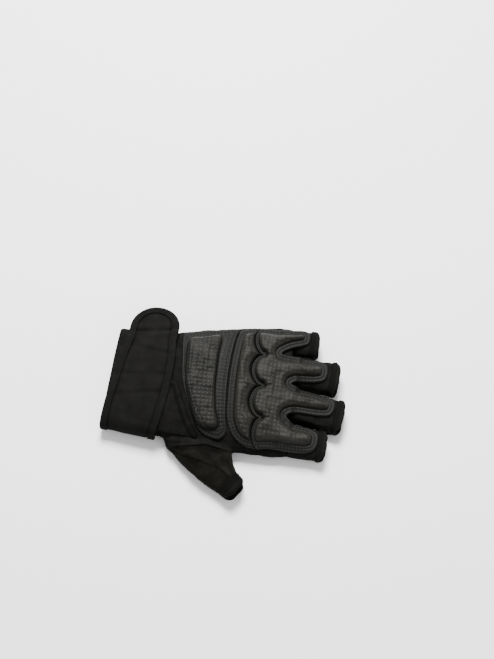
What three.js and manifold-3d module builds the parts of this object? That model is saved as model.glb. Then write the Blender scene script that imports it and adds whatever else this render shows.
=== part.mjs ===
// Half-finger padded sparring glove for the left hand, lying palm down with its wrist strap closed.
// Millimetres. +X runs from the wrist to the fingers, +Y to the little finger's side and +Z up through
// the back of the hand. The origin is under the middle of the glove, on the flat underside of the palm.
// The glove is a hollow fabric shell: wrist, hand, four open finger stalls and an open thumb. The shell is
// cut into its sewn panels, and the leather pads, the flap and the strap lie on top of it.

import * as THREE from "three";
import { mergeVertices } from "three/addons/utils/BufferGeometryUtils.js";
import Module from "manifold-3d";

const wasm = await Module();
wasm.setup();
const { Manifold, Mesh } = wasm;

// Driving sizes of the hand
const HAND_LENGTH = 163;
const WRIST_X = -105;
const PALM_WIDTH = 122;
const BODY_HEIGHT = 27;
const WIDEST_HEIGHT = 9.5;
const WEB_SKEW = 9;
const SKEW_FROM = 0.6;
const FABRIC_WALL = 2;
const SEAM_HEIGHT = 8;
const CLEARANCE = 0.35;
const CUT = 0.3;

// Driving sizes of the fingers and the thumb
const FINGER_LENGTH = 49;
const FINGER_WIDTH = 30;
const FINGER_HEIGHT = 20;
const FINGER_LIFT = 1.2;
const FINGER_TAPER = 2;
const FINGER_ROOT_DEPTH = 12;
const HEM_WIDTH = 7.5;
const HEM_STEP = 0.8;
const THUMB_HEM = 12;
const THUMB_LENGTH = 57;
const THUMB_WIDTH = 63;
const THUMB_HEIGHT = 19;
const THUMB_X = -17;
const THUMB_Y = -38;
const THUMB_SEAM_Y = -41.5;

// Driving sizes of the wrist strap
const CUFF_LENGTH = 53;
const STRAP_WIDTH = 52;
const STRAP_THICKNESS = 3.2;
const STRAP_X = -81;
const STRAP_START_ANGLE = 286;
const STRAP_LEAVE_ANGLE = 50;
const TONGUE_LENGTH = 36;
const TONGUE_DROOP = 12;
const BINDING_WIDTH = 6.5;
const BINDING_STEP = 0.4;
const HOOK_LENGTH = 17;
const HOOK_THICKNESS = 1.3;
const HOOK_MARGIN = 3;
const FLAP_THICKNESS = 2.4;
const FLAP_GAP = 0.8;

// Driving sizes of the padded leather
const FLANGE_THICKNESS = 1.8;
const FLANGE_WIDTH = 5.4;
const SCALLOP_FLANGE = 1.8;
const WRIST_PAD_RISE = 6.5;
const KNUCKLE_RISE = 7;
const FINGER_PAD_RISE = 5.5;
const PAD_SHOULDER = 5.5;
const PAD_GAP = 1.2;

// Facets
const BODY_SIDES = 26;
const FINGER_SIDES = 16;
const BODY_STEPS = 10;
const OUTLINE_STEP = 4.4;
const CROWN_STEP = 11;
const FINGER_STEPS = 4;
const SHARP_TURN = 0.85;
const SHOULDER_RUNGS = [0, 0.3, 1];
const RUNG_ROOM = 0.71;
const TOP_ROUNDING = 2.5;
const BOTTOM_ROUNDING = 3.4;
const FLAT_SINK = 0.9;
const LEVEL_SHARE = 0.97;
const OVERHANG = 3;

// One row for each section of the hand from the wrist to the webs. along is a share of HAND_LENGTH,
// thumbSide and littleSide are shares of PALM_WIDTH, top is a share of BODY_HEIGHT, and lift is a share of
// the strap's room.
const HAND_ROWS = [
  { along: 0.0, thumbSide: -0.279, littleSide: 0.484, top: 0.86, lift: 1 },
  { along: 0.1, thumbSide: -0.287, littleSide: 0.49, top: 0.98, lift: 1 },
  { along: 0.33, thumbSide: -0.303, littleSide: 0.52, top: 1.0, lift: 1 },
  { along: 0.45, thumbSide: -0.316, littleSide: 0.573, top: 0.99, lift: 0.1 },
  { along: 0.6, thumbSide: -0.328, littleSide: 0.618, top: 0.96, lift: 0 },
  { along: 0.78, thumbSide: -0.33, littleSide: 0.662, top: 0.93, lift: 0 },
  { along: 0.9, thumbSide: -0.325, littleSide: 0.683, top: 0.85, lift: 0 },
  { along: 1.0, thumbSide: -0.305, littleSide: 0.688, top: 0.76, lift: 0 },
];

// One row for each finger from the thumb outwards. root is a share of HAND_LENGTH, across a share of
// PALM_WIDTH, length a share of FINGER_LENGTH and the widths of FINGER_WIDTH. splay is in degrees.
const FINGERS = [
  { name: "index", root: 1.005, across: -0.176, splay: -2, length: 0.765, rootWidth: 0.97, tipWidth: 0.87 },
  { name: "middle", root: 1.0, across: 0.098, splay: -6.5, length: 1.02, rootWidth: 1.0, tipWidth: 1.03 },
  { name: "ring", root: 0.99, across: 0.346, splay: 0, length: 0.87, rootWidth: 0.98, tipWidth: 1.03 },
  { name: "little", root: 0.94, across: 0.572, splay: 5, length: 0.58, rootWidth: 0.84, tipWidth: 0.8 },
];

// One row for each finger's lobe of padding. tip is a share of the stall's length up to its hem. The sides
// are shares of FINGER_WIDTH from the finger's axis, high to the little finger's side, low to the thumb's.
const LOBES = [
  { name: "index", tip: 0.985, highRoot: 0.46, highTip: 0.41, lowRoot: -0.42, lowTip: -0.35 },
  { name: "middle", tip: 0.95, highRoot: 0.49, highTip: 0.47, lowRoot: -0.35, lowTip: -0.22 },
  { name: "ring", tip: 0.9, highRoot: 0.4, highTip: 0.4, lowRoot: -0.4, lowTip: -0.3 },
  { name: "little", tip: 0.95, highRoot: 0.33, highTip: 0.36, lowRoot: -0.3, lowTip: -0.17 },
];

// One row for each section of the thumb from inside the hand to its open end. x and out are shares of
// THUMB_LENGTH from the thumb's root, width of THUMB_WIDTH and top of THUMB_HEIGHT. seam is the share of
// the width, from the wrist's side, where the suede meets the mesh. heading is in degrees.
const THUMB_ROWS = [
  { x: -0.05, out: -0.34, heading: -90, width: 0.86, top: 0.9, seam: 0.0 },
  { x: 0.0, out: 0.03, heading: -90, width: 0.97, top: 1.0, seam: 0.03 },
  { x: 0.14, out: 0.2, heading: -83, width: 0.79, top: 0.98, seam: 0.09 },
  { x: 0.29, out: 0.365, heading: -75, width: 0.62, top: 0.96, seam: 0.57 },
  { x: 0.46, out: 0.495, heading: -62, width: 0.475, top: 0.95, seam: 0.67 },
  { x: 0.62, out: 0.59, heading: -49, width: 0.38, top: 0.96, seam: 0.66 },
  { x: 0.74, out: 0.665, heading: -36, width: 0.34, top: 0.98, seam: 0.64 },
];

// One row for each station of the strap. along is a share of its path from the palm to the tongue's root,
// shift a share of STRAP_WIDTH towards the fingers, and width a share of STRAP_WIDTH.
const STRAP_ROWS = [
  { along: 0.0, shift: 0.0, width: 0.96 },
  { along: 0.45, shift: 0.0, width: 0.97 },
  { along: 0.7, shift: 0.06, width: 1.03 },
  { along: 0.85, shift: 0.12, width: 1.0 },
  { along: 1.0, shift: 0.14, width: 0.86 },
];

const radians = THREE.MathUtils.degToRad;

// Smooth values between the rows of a table: a cubic through each column.
function column(rows, at, key, where) {
  const last = rows.length - 1;
  let i = 0;
  while (i < last - 1 && where > rows[i + 1][at]) i += 1;
  const slope = (k) => {
    const a = rows[Math.max(k - 1, 0)];
    const b = rows[Math.min(k + 1, last)];
    return (b[key] - a[key]) / (b[at] - a[at]);
  };
  const span = rows[i + 1][at] - rows[i][at];
  const t = THREE.MathUtils.clamp((where - rows[i][at]) / span, 0, 1);
  const s = 1 - t;
  return (
    rows[i][key] * (1 + 2 * t) * s * s +
    rows[i + 1][key] * (3 - 2 * t) * t * t +
    slope(i) * span * t * s * s -
    slope(i + 1) * span * s * t * t
  );
}

// Solids from triangles and from three.js geometry
function solidFrom(vertices, triangles) {
  const vertProperties = new Float32Array(vertices);
  const triVerts = new Uint32Array(triangles);
  return new Manifold(new Mesh({ numProp: 3, vertProperties, triVerts }));
}

function solidOf(geometry) {
  geometry.deleteAttribute("normal");
  geometry.deleteAttribute("uv");
  const merged = mergeVertices(geometry, 1e-4);
  return solidFrom(merged.attributes.position.array, merged.index.array);
}

function block(low, high) {
  const size = high.map((h, i) => h - low[i]);
  const box = new THREE.BoxGeometry(...size);
  box.translate(...low.map((l, i) => l + size[i] / 2));
  return solidOf(box);
}

function prism(outline, low, high) {
  const shape = new THREE.Shape(outline.map((p) => new THREE.Vector2(p[0], p[1])));
  const geometry = new THREE.ExtrudeGeometry(shape, { depth: high - low, bevelEnabled: false });
  geometry.translate(0, 0, low);
  return solidOf(geometry);
}

// A closed solid through rings that hold the same number of points, with a fan on each end.
function loft(rings) {
  const count = rings[0].length;
  const vertices = rings.flat(2);
  const triangles = [];
  for (let i = 0; i < rings.length - 1; i += 1) {
    for (let j = 0; j < count; j += 1) {
      const a = i * count + j;
      const b = i * count + ((j + 1) % count);
      triangles.push(a, b, a + count, b, b + count, a + count);
    }
  }
  for (const [ring, isEnd] of [[0, false], [rings.length - 1, true]]) {
    const centre = vertices.length / 3;
    const sum = rings[ring].reduce((s, p) => s.map((v, k) => v + p[k] / count), [0, 0, 0]);
    vertices.push(...sum);
    for (let j = 0; j < count; j += 1) {
      const a = ring * count + j;
      const b = ring * count + ((j + 1) % count);
      triangles.push(...(isEnd ? [centre, a, b] : [centre, b, a]));
    }
  }
  return solidFrom(vertices, triangles);
}

// A closed solid from a grid of upper points and the grid of lower points under it.
function slab(upper, lower) {
  const rows = upper.length;
  const columns = upper[0].length;
  const vertices = [...upper.flat(2), ...lower.flat(2)];
  const under = rows * columns;
  const triangles = [];
  const quad = (a, b, c, d) => triangles.push(a, b, c, a, c, d);
  for (let i = 0; i < rows - 1; i += 1) {
    for (let j = 0; j < columns - 1; j += 1) {
      const a = i * columns + j;
      quad(a, a + columns, a + columns + 1, a + 1);
      quad(under + a, under + a + 1, under + a + columns + 1, under + a + columns);
    }
  }
  const rim = [];
  for (let i = 0; i < rows - 1; i += 1) rim.push(i * columns);
  for (let j = 0; j < columns - 1; j += 1) rim.push((rows - 1) * columns + j);
  for (let i = rows - 1; i > 0; i -= 1) rim.push(i * columns + columns - 1);
  for (let j = columns - 1; j > 0; j -= 1) rim.push(j);
  rim.forEach((a, k) => {
    const b = rim[(k + 1) % rim.length];
    quad(b, a, under + a, under + b);
  });
  return solidFrom(vertices, triangles);
}

// The rounded section that the hand, fingers and thumb share: flat below, domed above.
const roundPower = (value, power) => Math.sign(value) * Math.abs(value) ** power;

function sectionPoint(section, angle, grow) {
  const c = Math.cos(angle);
  const s = Math.sin(angle);
  const rounding = s >= 0 ? TOP_ROUNDING : BOTTOM_ROUNDING;
  const across = (section.half + grow) * roundPower(c, 2 / rounding);
  const reach = s >= 0 ? section.top - section.mid + grow : section.mid - section.bottom + grow;
  const up = section.mid + reach * roundPower(s, 2 / rounding);
  return [across, Math.max(up, section.floor - Math.min(grow, 0))];
}

function domeHeight(section, across) {
  const share = Math.abs(across) / section.half;
  if (share >= 1) return -Infinity;
  return section.mid + (section.top - section.mid) * (1 - share ** TOP_ROUNDING) ** (1 / TOP_ROUNDING);
}

// The hand
const STRAP_ROOM = STRAP_THICKNESS + BINDING_STEP + 2 * CLEARANCE;

function handSection(along) {
  const get = (key) => column(HAND_ROWS, "along", key, along);
  const low = get("thumbSide") * PALM_WIDTH;
  const high = get("littleSide") * PALM_WIDTH;
  const lift = Math.max(get("lift"), 0) * STRAP_ROOM;
  return {
    centre: (low + high) / 2,
    half: (high - low) / 2,
    low,
    high,
    mid: WIDEST_HEIGHT + lift / 2,
    top: get("top") * BODY_HEIGHT,
    bottom: lift > 0 ? lift : -FLAT_SINK,
    floor: lift,
  };
}

const handX = (along) => WRIST_X + along * HAND_LENGTH;
const handAlong = (x) => (x - WRIST_X) / HAND_LENGTH;
const skewAt = (along) => WEB_SKEW * THREE.MathUtils.clamp((along - SKEW_FROM) / (1 - SKEW_FROM), 0, 1);

// A point on the hand's plan: along the hand, and across it from the thumb's side to the little finger's.
function onHand(along, across) {
  const section = handSection(along);
  const y = section.low + across * (section.high - section.low);
  return [handX(along), y];
}

function handSolid(grow, from, to) {
  const rings = [];
  for (let i = 0; i <= BODY_STEPS; i += 1) {
    const along = from + ((to - from) * i) / BODY_STEPS;
    const section = handSection(THREE.MathUtils.clamp(along, 0, 1));
    const ring = [];
    for (let j = 0; j < BODY_SIDES; j += 1) {
      const [across, up] = sectionPoint(section, (2 * Math.PI * j) / BODY_SIDES, grow);
      const skew = (skewAt(along) * across) / (2 * section.half);
      ring.push([handX(along) - skew, section.centre + across, up]);
    }
    rings.push(ring);
  }
  return loft(rings);
}

// The fingers
function fingerFrame(finger) {
  const heading = radians(finger.splay);
  return {
    x: handX(finger.root),
    y: finger.across * PALM_WIDTH,
    forward: [Math.cos(heading), Math.sin(heading)],
    left: [-Math.sin(heading), Math.cos(heading)],
    length: finger.length * FINGER_LENGTH,
  };
}

function onFinger(finger, forward, left) {
  const frame = fingerFrame(finger);
  return [
    frame.x + forward * frame.forward[0] + left * frame.left[0],
    frame.y + forward * frame.forward[1] + left * frame.left[1],
  ];
}

function fingerSection(finger, forward) {
  const share = THREE.MathUtils.clamp(forward / (finger.length * FINGER_LENGTH), 0, 1);
  const width = THREE.MathUtils.lerp(finger.rootWidth, finger.tipWidth, share * share) * FINGER_WIDTH;
  return {
    half: width / 2,
    mid: WIDEST_HEIGHT,
    top: FINGER_HEIGHT - FINGER_TAPER * share,
    bottom: FINGER_LIFT * share - FLAT_SINK,
    floor: FINGER_LIFT * share,
  };
}

function fingerSolid(finger, grow, from, to) {
  const rings = [];
  for (let i = 0; i <= FINGER_STEPS; i += 1) {
    const forward = from + ((to - from) * i) / FINGER_STEPS;
    const section = fingerSection(finger, forward);
    const ring = [];
    for (let j = 0; j < FINGER_SIDES; j += 1) {
      const [across, up] = sectionPoint(section, (2 * Math.PI * j) / FINGER_SIDES, grow);
      ring.push([...onFinger(finger, forward, across), up]);
    }
    rings.push(ring);
  }
  return loft(rings);
}

// The space round one finger between two distances from its root
function fingerRegion(finger, from, to) {
  const half = (finger.tipWidth * FINGER_WIDTH) / 2 + HEM_STEP;
  const corners = [[from, -half], [to, -half], [to, half], [from, half]];
  return prism(corners.map(([f, l]) => onFinger(finger, f, l)), -FINGER_HEIGHT, 2 * FINGER_HEIGHT);
}

// The thumb
function thumbPoint(row, across) {
  const heading = radians(row.heading);
  return [
    THUMB_X + row.x * THUMB_LENGTH - across * Math.sin(heading),
    THUMB_Y - row.out * THUMB_LENGTH + across * Math.cos(heading),
  ];
}

function thumbSection(row) {
  const lift = FINGER_LIFT * THREE.MathUtils.clamp(row.out / THUMB_ROWS.at(-1).out, 0, 1);
  return {
    half: (row.width * THUMB_WIDTH) / 2,
    mid: WIDEST_HEIGHT,
    top: row.top * THUMB_HEIGHT,
    bottom: lift - FLAT_SINK,
    floor: lift,
  };
}

function pastThumbEnd(distance) {
  const end = THUMB_ROWS.at(-1);
  const heading = radians(end.heading);
  return {
    ...end,
    x: end.x + (distance * Math.cos(heading)) / THUMB_LENGTH,
    out: end.out - (distance * Math.sin(heading)) / THUMB_LENGTH,
  };
}

function thumbSolid(grow, past) {
  const [root, ...others] = THUMB_ROWS;
  const hollowRoot = { ...root, out: root.out + FABRIC_WALL / THUMB_LENGTH };
  const rows = past > 0 ? [hollowRoot, ...others, pastThumbEnd(past)] : THUMB_ROWS;
  return loft(
    rows.map((row) => {
      const section = thumbSection(row);
      return Array.from({ length: FINGER_SIDES }, (_, j) => {
        const [across, up] = sectionPoint(section, (2 * Math.PI * j) / FINGER_SIDES, grow);
        return [...thumbPoint(row, across), up];
      });
    }),
  );
}

// The end of the thumb from a distance before its opening
function thumbEnd(before) {
  const half = THUMB_WIDTH / 2;
  const start = pastThumbEnd(-before);
  const end = pastThumbEnd(THUMB_LENGTH);
  const near = [thumbPoint(start, -half), thumbPoint(end, -half)];
  const opposite = [thumbPoint(end, half), thumbPoint(start, half)];
  return prism([...near, ...opposite], -THUMB_HEIGHT, 2 * THUMB_HEIGHT);
}

// The whole form, grown or shrunk. Its ends run past the openings when it is the hollow.
function wholeForm(grow, past) {
  const parts = FINGERS.map((finger) => {
    const length = finger.length * FINGER_LENGTH;
    return fingerSolid(finger, grow, -FINGER_ROOT_DEPTH, length + past);
  });
  const end = past > 0 ? FABRIC_WALL : 0;
  parts.push(handSolid(grow, -past / HAND_LENGTH, 1 - end / HAND_LENGTH));
  parts.push(thumbSolid(grow, past));
  return Manifold.union(parts);
}

const OVER = 10;
const outer = wholeForm(0, 0);
const shell = outer.subtract(wholeForm(-FABRIC_WALL, OVER));
const seat = wholeForm(CLEARANCE, 0);

// Cutters. Each seam is a gap of CUT between two pieces.
const FAR = 2 * HAND_LENGTH;
const cuffEdge = WRIST_X + CUFF_LENGTH;
const below = block([-FAR, -FAR, -FAR], [FAR, FAR, SEAM_HEIGHT - CUT / 2]);
const above = block([-FAR, -FAR, SEAM_HEIGHT + CUT / 2], [FAR, FAR, FAR]);
const wristSide = block([-FAR, -FAR, -FAR], [cuffEdge - CUT / 2, FAR, FAR]);
const handSide = block([cuffEdge + CUT / 2, THUMB_SEAM_Y + CUT / 2, -FAR], [FAR, FAR, FAR]);
const thumbSide = block([cuffEdge + CUT / 2, -FAR, -FAR], [FAR, THUMB_SEAM_Y - CUT / 2, FAR]);

// The line of the webs, where the finger stalls are sewn to the hand
const webLine = [0, 1].map((across) => {
  const [x, y] = onHand(1, across);
  return [x - WEB_SKEW * (across - 0.5), y];
});
function webRegion(offset, reach) {
  const [low, high] = webLine;
  const lean = (high[0] - low[0]) / (high[1] - low[1]);
  const edge = [-PALM_WIDTH, PALM_WIDTH].map((y) => [low[0] + lean * (y - low[1]) + offset, y]);
  const far = edge.map(([x, y]) => [x + reach, y]);
  return prism([edge[0], far[0], far[1], edge[1]], -FAR, FAR);
}
const pastWebs = webRegion(CUT / 2, FAR);
const beforeWebs = webRegion(-CUT / 2, -FAR);

const hemRegions = FINGERS.map((finger) => {
  const length = finger.length * FINGER_LENGTH;
  return fingerRegion(finger, length - HEM_WIDTH - CUT, length + OVER);
});
const hemmed = Manifold.union([...hemRegions, thumbEnd(THUMB_HEM + CUT)]);

// The thumb's seam between mesh and suede: past this outline lies the mesh.
function meshRegion(offset) {
  const rows = [...THUMB_ROWS, pastThumbEnd(OVER)];
  const seam = rows.map((row) => thumbPoint(row, (row.seam - 0.5) * row.width * THUMB_WIDTH + offset));
  const far = rows.map((row) => thumbPoint(row, row.width * THUMB_WIDTH)).reverse();
  return prism([...seam, ...far], -FAR, FAR);
}

// Outlines of the padded leather on the hand's plan
function curveThrough(points, isClosed) {
  const knots = points.map((p) => new THREE.Vector3(...p, 0));
  const curve = new THREE.CatmullRomCurve3(knots, isClosed, "centripetal");
  const count = Math.round(curve.getLength() / OUTLINE_STEP);
  const line = curve.getSpacedPoints(count).map((v) => [v.x, v.y]);
  return isClosed ? line.slice(0, count) : line;
}

// The line between the wrist pad and the knuckle pad, bowed towards the wrist. across runs from the thumb.
const SPLIT = { along: 0.648, across: 0.66, bow: 0.14 };
const padSplit = (across) => SPLIT.along + SPLIT.bow * (across - SPLIT.across) ** 2;
const padGapShare = PAD_GAP / 2 / HAND_LENGTH;
const besideSplit = (acrosses, side) =>
  acrosses.map((across) => onHand(padSplit(across) + side * padGapShare, across));

// The wrist pad's edge, and the foot of its foam
const WRIST_PAD_EDGE = [
  { along: 0.655, across: 0.055 },
  { along: 0.6, across: 0.055 },
  { along: 0.548, across: 0.085 },
  { along: 0.495, across: 0.18 },
  { along: 0.44, across: 0.345 },
  { along: 0.4, across: 0.5 },
  { along: 0.378, across: 0.7 },
  { along: 0.368, across: 0.95 },
  { along: 0.46, across: 0.955 },
  { along: 0.56, across: 0.962 },
];
const WRIST_FOAM_EDGE = [
  { along: 0.4, across: 0.88 },
  { along: 0.48, across: 0.89 },
  { along: 0.567, across: 0.895 },
  { along: 0.578, across: 0.7 },
  { along: 0.59, across: 0.452 },
  { along: 0.612, across: 0.28 },
  { along: 0.64, across: 0.14 },
  { along: 0.6, across: 0.107 },
  { along: 0.535, across: 0.12 },
  { along: 0.497, across: 0.185 },
  { along: 0.455, across: 0.32 },
  { along: 0.42, across: 0.46 },
  { along: 0.402, across: 0.66 },
];
const fromShares = (rows) => rows.map((row) => onHand(row.along, row.across));
const wristEdge = curveThrough(
  [...besideSplit([0.955, 0.9, 0.75, 0.57, 0.38, 0.2, 0.11], -1), ...fromShares(WRIST_PAD_EDGE)],
  true,
);
const wristFoam = curveThrough(fromShares(WRIST_FOAM_EDGE).reverse(), true);

// The scalloped seam: round bumps towards the wrist, with a cusp at each gap between two fingers.
const SCALLOPS = [
  { along: 0.783, across: 0.975, sag: 7 },
  { along: 0.816, across: 0.738, sag: 10 },
  { along: 0.834, across: 0.492, sag: 10 },
  { along: 0.85, across: 0.247, sag: 6 },
  { along: 0.862, across: 0.03, sag: 0 },
];
const SCALLOP_STEPS = 8;

function scallopLine(offset) {
  const line = [];
  for (let k = 0; k < SCALLOPS.length - 1; k += 1) {
    const a = new THREE.Vector2(...onHand(SCALLOPS[k].along, SCALLOPS[k].across));
    const b = new THREE.Vector2(...onHand(SCALLOPS[k + 1].along, SCALLOPS[k + 1].across));
    const chord = b.clone().sub(a);
    const bulge = new THREE.Vector2(chord.y, -chord.x).normalize();
    for (let i = k === 0 ? 0 : 1; i <= SCALLOP_STEPS; i += 1) {
      const t = i / SCALLOP_STEPS;
      const sag = SCALLOPS[k].sag * Math.sqrt(Math.sin(Math.PI * t));
      const p = a.clone().addScaledVector(chord, t).addScaledVector(bulge, sag);
      line.push([p.x + offset, p.y]);
    }
  }
  return line;
}

// One row for each notch between two lobes
const NOTCHES = [
  { name: "index to middle", along: 0.997, across: 0.285 },
  { name: "middle to ring", along: 0.997, across: 0.535 },
  { name: "ring to little", along: 0.917, across: 0.765 },
];

// Where a lobe's sides begin, end and turn, as shares of its length
const LOBE_ROOT = 0.14;
const LOBE_SIDE = 0.72;
const LOBE_CORNER = 0.94;
const LOBE_ROUNDING = 0.68;

function lobe(finger, shape) {
  const tip = shape.tip * (finger.length * FINGER_LENGTH - HEM_WIDTH);
  const side = (share) => share * FINGER_WIDTH;
  const middle = side((shape.highTip + shape.lowTip) / 2);
  const rounded = (value) => middle + LOBE_ROUNDING * (value - middle);
  return [
    [LOBE_ROOT * tip, side(shape.highRoot)],
    [LOBE_SIDE * tip, side(shape.highTip)],
    [LOBE_CORNER * tip, rounded(side(shape.highTip))],
    [tip, middle],
    [LOBE_CORNER * tip, rounded(side(shape.lowTip))],
    [LOBE_SIDE * tip, side(shape.lowTip)],
    [LOBE_ROOT * tip, side(shape.lowRoot)],
  ].map(([forward, left]) => onFinger(finger, forward, left));
}

// Each panel's rim and its scalloped side run round it with the panel on their left.
const scallop = scallopLine(0);
const guardScallop = scallopLine(CUT);
const BAR_LITTLE_END = [
  { along: 0.71, across: 0.965 },
  { along: 0.67, across: 0.945 },
];
const BAR_THUMB_END = [
  { along: 0.725, across: 0.09 },
  { along: 0.78, across: 0.042 },
];
const barRim = curveThrough(
  [
    scallop[0],
    ...fromShares(BAR_LITTLE_END),
    ...besideSplit([0.88, 0.75, 0.57, 0.38, 0.2], 1),
    ...fromShares(BAR_THUMB_END),
    scallop.at(-1),
  ],
  false,
);
const lobePoints = FINGERS.flatMap((finger, k) => {
  const points = lobe(finger, LOBES[k]).reverse();
  return k < NOTCHES.length ? [...points, onHand(NOTCHES[k].along, NOTCHES[k].across)] : points;
});
const GUARD_THUMB_END = [{ along: 0.93, across: 0.04 }];
const GUARD_LITTLE_END = [{ along: 0.88, across: 0.965 }];
const guardEnds = [...lobePoints, ...fromShares(GUARD_LITTLE_END), guardScallop[0]];
const guardRim = curveThrough([guardScallop.at(-1), ...fromShares(GUARD_THUMB_END), ...guardEnds], false);

function distanceTo(line, isClosed, x, y) {
  let best = Infinity;
  const count = isClosed ? line.length : line.length - 1;
  for (let i = 0; i < count; i += 1) {
    const [ax, ay] = line[i];
    const [bx, by] = line[(i + 1) % line.length];
    const dx = bx - ax;
    const dy = by - ay;
    const t = THREE.MathUtils.clamp(((x - ax) * dx + (y - ay) * dy) / (dx * dx + dy * dy), 0, 1);
    best = Math.min(best, Math.hypot(x - ax - t * dx, y - ay - t * dy));
  }
  return best;
}

function isInside(outline, x, y) {
  let inside = false;
  outline.forEach(([ax, ay], i) => {
    const [bx, by] = outline[(i + 1) % outline.length];
    if (ay > y !== by > y && x < ax + ((y - ay) / (by - ay)) * (bx - ax)) inside = !inside;
  });
  return inside;
}

// Height of the bare glove's back over a point of the plan. Overhanging leather stays level.
function levelledHeight(section, across) {
  const edge = section.half * LEVEL_SHARE;
  return domeHeight(section, THREE.MathUtils.clamp(across, -edge, edge));
}

function backHeight(x, y) {
  const section = handSection(THREE.MathUtils.clamp(handAlong(x), 0, 1));
  const isHand = x <= handX(1) + WEB_SKEW / 2;
  let height = isHand ? levelledHeight(section, y - section.centre) : WIDEST_HEIGHT;
  for (const finger of FINGERS) {
    const frame = fingerFrame(finger);
    const dx = x - frame.x;
    const dy = y - frame.y;
    const forward = dx * frame.forward[0] + dy * frame.forward[1];
    const left = dx * frame.left[0] + dy * frame.left[1];
    const stall = fingerSection(finger, forward);
    const isOver = forward > -FINGER_ROOT_DEPTH && Math.abs(left) < stall.half + OVERHANG;
    if (isOver) height = Math.max(height, levelledHeight(stall, left));
  }
  return Math.max(height, WIDEST_HEIGHT);
}

// Foam under leather: a flat flange, a round shoulder and a level crown. inset is measured from the foam's
// foot.
function padThickness(inset, rise) {
  const t = THREE.MathUtils.clamp(inset / PAD_SHOULDER, 0, 1);
  return FLANGE_THICKNESS + rise * Math.sqrt(1 - (1 - t) ** 2);
}

// Triangles between points of the plan, none of which lies in the circle through another triangle's corners
function triangulate(points) {
  const far = 20 * HAND_LENGTH;
  const all = [...points, [-far, -far], [far, -far], [0, far]];
  const circle = (a, b, c) => {
    const [ax, ay] = all[a];
    const [bx, by] = [all[b][0] - ax, all[b][1] - ay];
    const [cx, cy] = [all[c][0] - ax, all[c][1] - ay];
    const d = 2 * (bx * cy - by * cx);
    const ux = (cy * (bx * bx + by * by) - by * (cx * cx + cy * cy)) / d;
    const uy = (bx * (cx * cx + cy * cy) - cx * (bx * bx + by * by)) / d;
    return { corners: [a, b, c], x: ax + ux, y: ay + uy, square: ux * ux + uy * uy };
  };
  let triangles = [circle(points.length, points.length + 1, points.length + 2)];
  points.forEach(([x, y], i) => {
    const open = new Map();
    triangles = triangles.filter((t) => {
      if ((x - t.x) ** 2 + (y - t.y) ** 2 > t.square) return true;
      t.corners.forEach((a, k) => {
        const b = t.corners[(k + 1) % 3];
        if (!open.delete(`${b},${a}`)) open.set(`${a},${b}`, [a, b]);
      });
      return false;
    });
    for (const [a, b] of open.values()) triangles.push(circle(a, b, i));
  });
  return triangles.map((t) => t.corners).filter((corners) => corners.every((c) => c < points.length));
}

// A piece of padded leather. edges are the lines round it, and feet the lines its foam rises from, both with
// the piece on their left. insetAt gives the distance of a point from the foam's foot.
function padSolid({ edges, feet, insetAt, rise }) {
  const outline = edges.flat();
  const points = outline.map((p) => [...p]);
  const isFree = (x, y, room) => points.every(([px, py]) => Math.hypot(px - x, py - y) > room);
  for (const { line, start } of feet) {
    for (const rung of SHOULDER_RUNGS) {
      line.forEach(([x, y], i) => {
        const a = line[(i + line.length - 1) % line.length];
        const b = line[(i + 1) % line.length];
        const normals = [[a, b], [a, [x, y]], [[x, y], b]].map(([from, to]) =>
          new THREE.Vector2(from[1] - to[1], to[0] - from[0]).normalize(),
        );
        const isSharp = normals[1].dot(normals[2]) < SHARP_TURN;
        for (const across of isSharp ? normals : normals.slice(0, 1)) {
          const px = x + across.x * (start + rung * PAD_SHOULDER);
          const py = y + across.y * (start + rung * PAD_SHOULDER);
          const isOffset = insetAt(px, py) > rung * PAD_SHOULDER - RUNG_ROOM;
          const isKept = isOffset && isInside(outline, px, py) && isFree(px, py, OUTLINE_STEP / 3);
          if (isKept) points.push([px, py]);
        }
      });
    }
  }
  const low = [0, 1].map((k) => Math.min(...outline.map((p) => p[k])));
  const high = [0, 1].map((k) => Math.max(...outline.map((p) => p[k])));
  for (let x = low[0]; x < high[0]; x += CROWN_STEP) {
    for (let y = low[1]; y < high[1]; y += CROWN_STEP) {
      const isCrown = isInside(outline, x, y) && insetAt(x, y) > PAD_SHOULDER;
      if (isCrown && isFree(x, y, CROWN_STEP / 2)) points.push([x, y]);
    }
  }
  const triangles = triangulate(points).filter((t) => {
    const [x, y] = [0, 1].map((k) => (points[t[0]][k] + points[t[1]][k] + points[t[2]][k]) / 3);
    return isInside(outline, x, y);
  });
  const topOf = (x, y) => backHeight(x, y) + CLEARANCE + padThickness(insetAt(x, y), rise);
  const upper = points.map(([x, y]) => [x, y, topOf(x, y)]);
  const lower = points.map(([x, y]) => [x, y, WIDEST_HEIGHT]);
  const rim = new Map();
  const faces = [];
  for (const [a, b, c] of triangles) {
    faces.push(a, b, c, points.length + a, points.length + c, points.length + b);
    for (const [from, to] of [[a, b], [b, c], [c, a]]) {
      if (!rim.delete(`${to},${from}`)) rim.set(`${from},${to}`, [from, to]);
    }
  }
  for (const [a, b] of rim.values()) {
    faces.push(b, a, points.length + a, b, points.length + a, points.length + b);
  }
  return solidFrom([...upper.flat(), ...lower.flat()], faces).subtract(seat);
}

const foamInset = (rim) => (x, y) =>
  Math.min(distanceTo(rim, false, x, y) - FLANGE_WIDTH, distanceTo(scallop, false, x, y) - SCALLOP_FLANGE);

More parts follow.
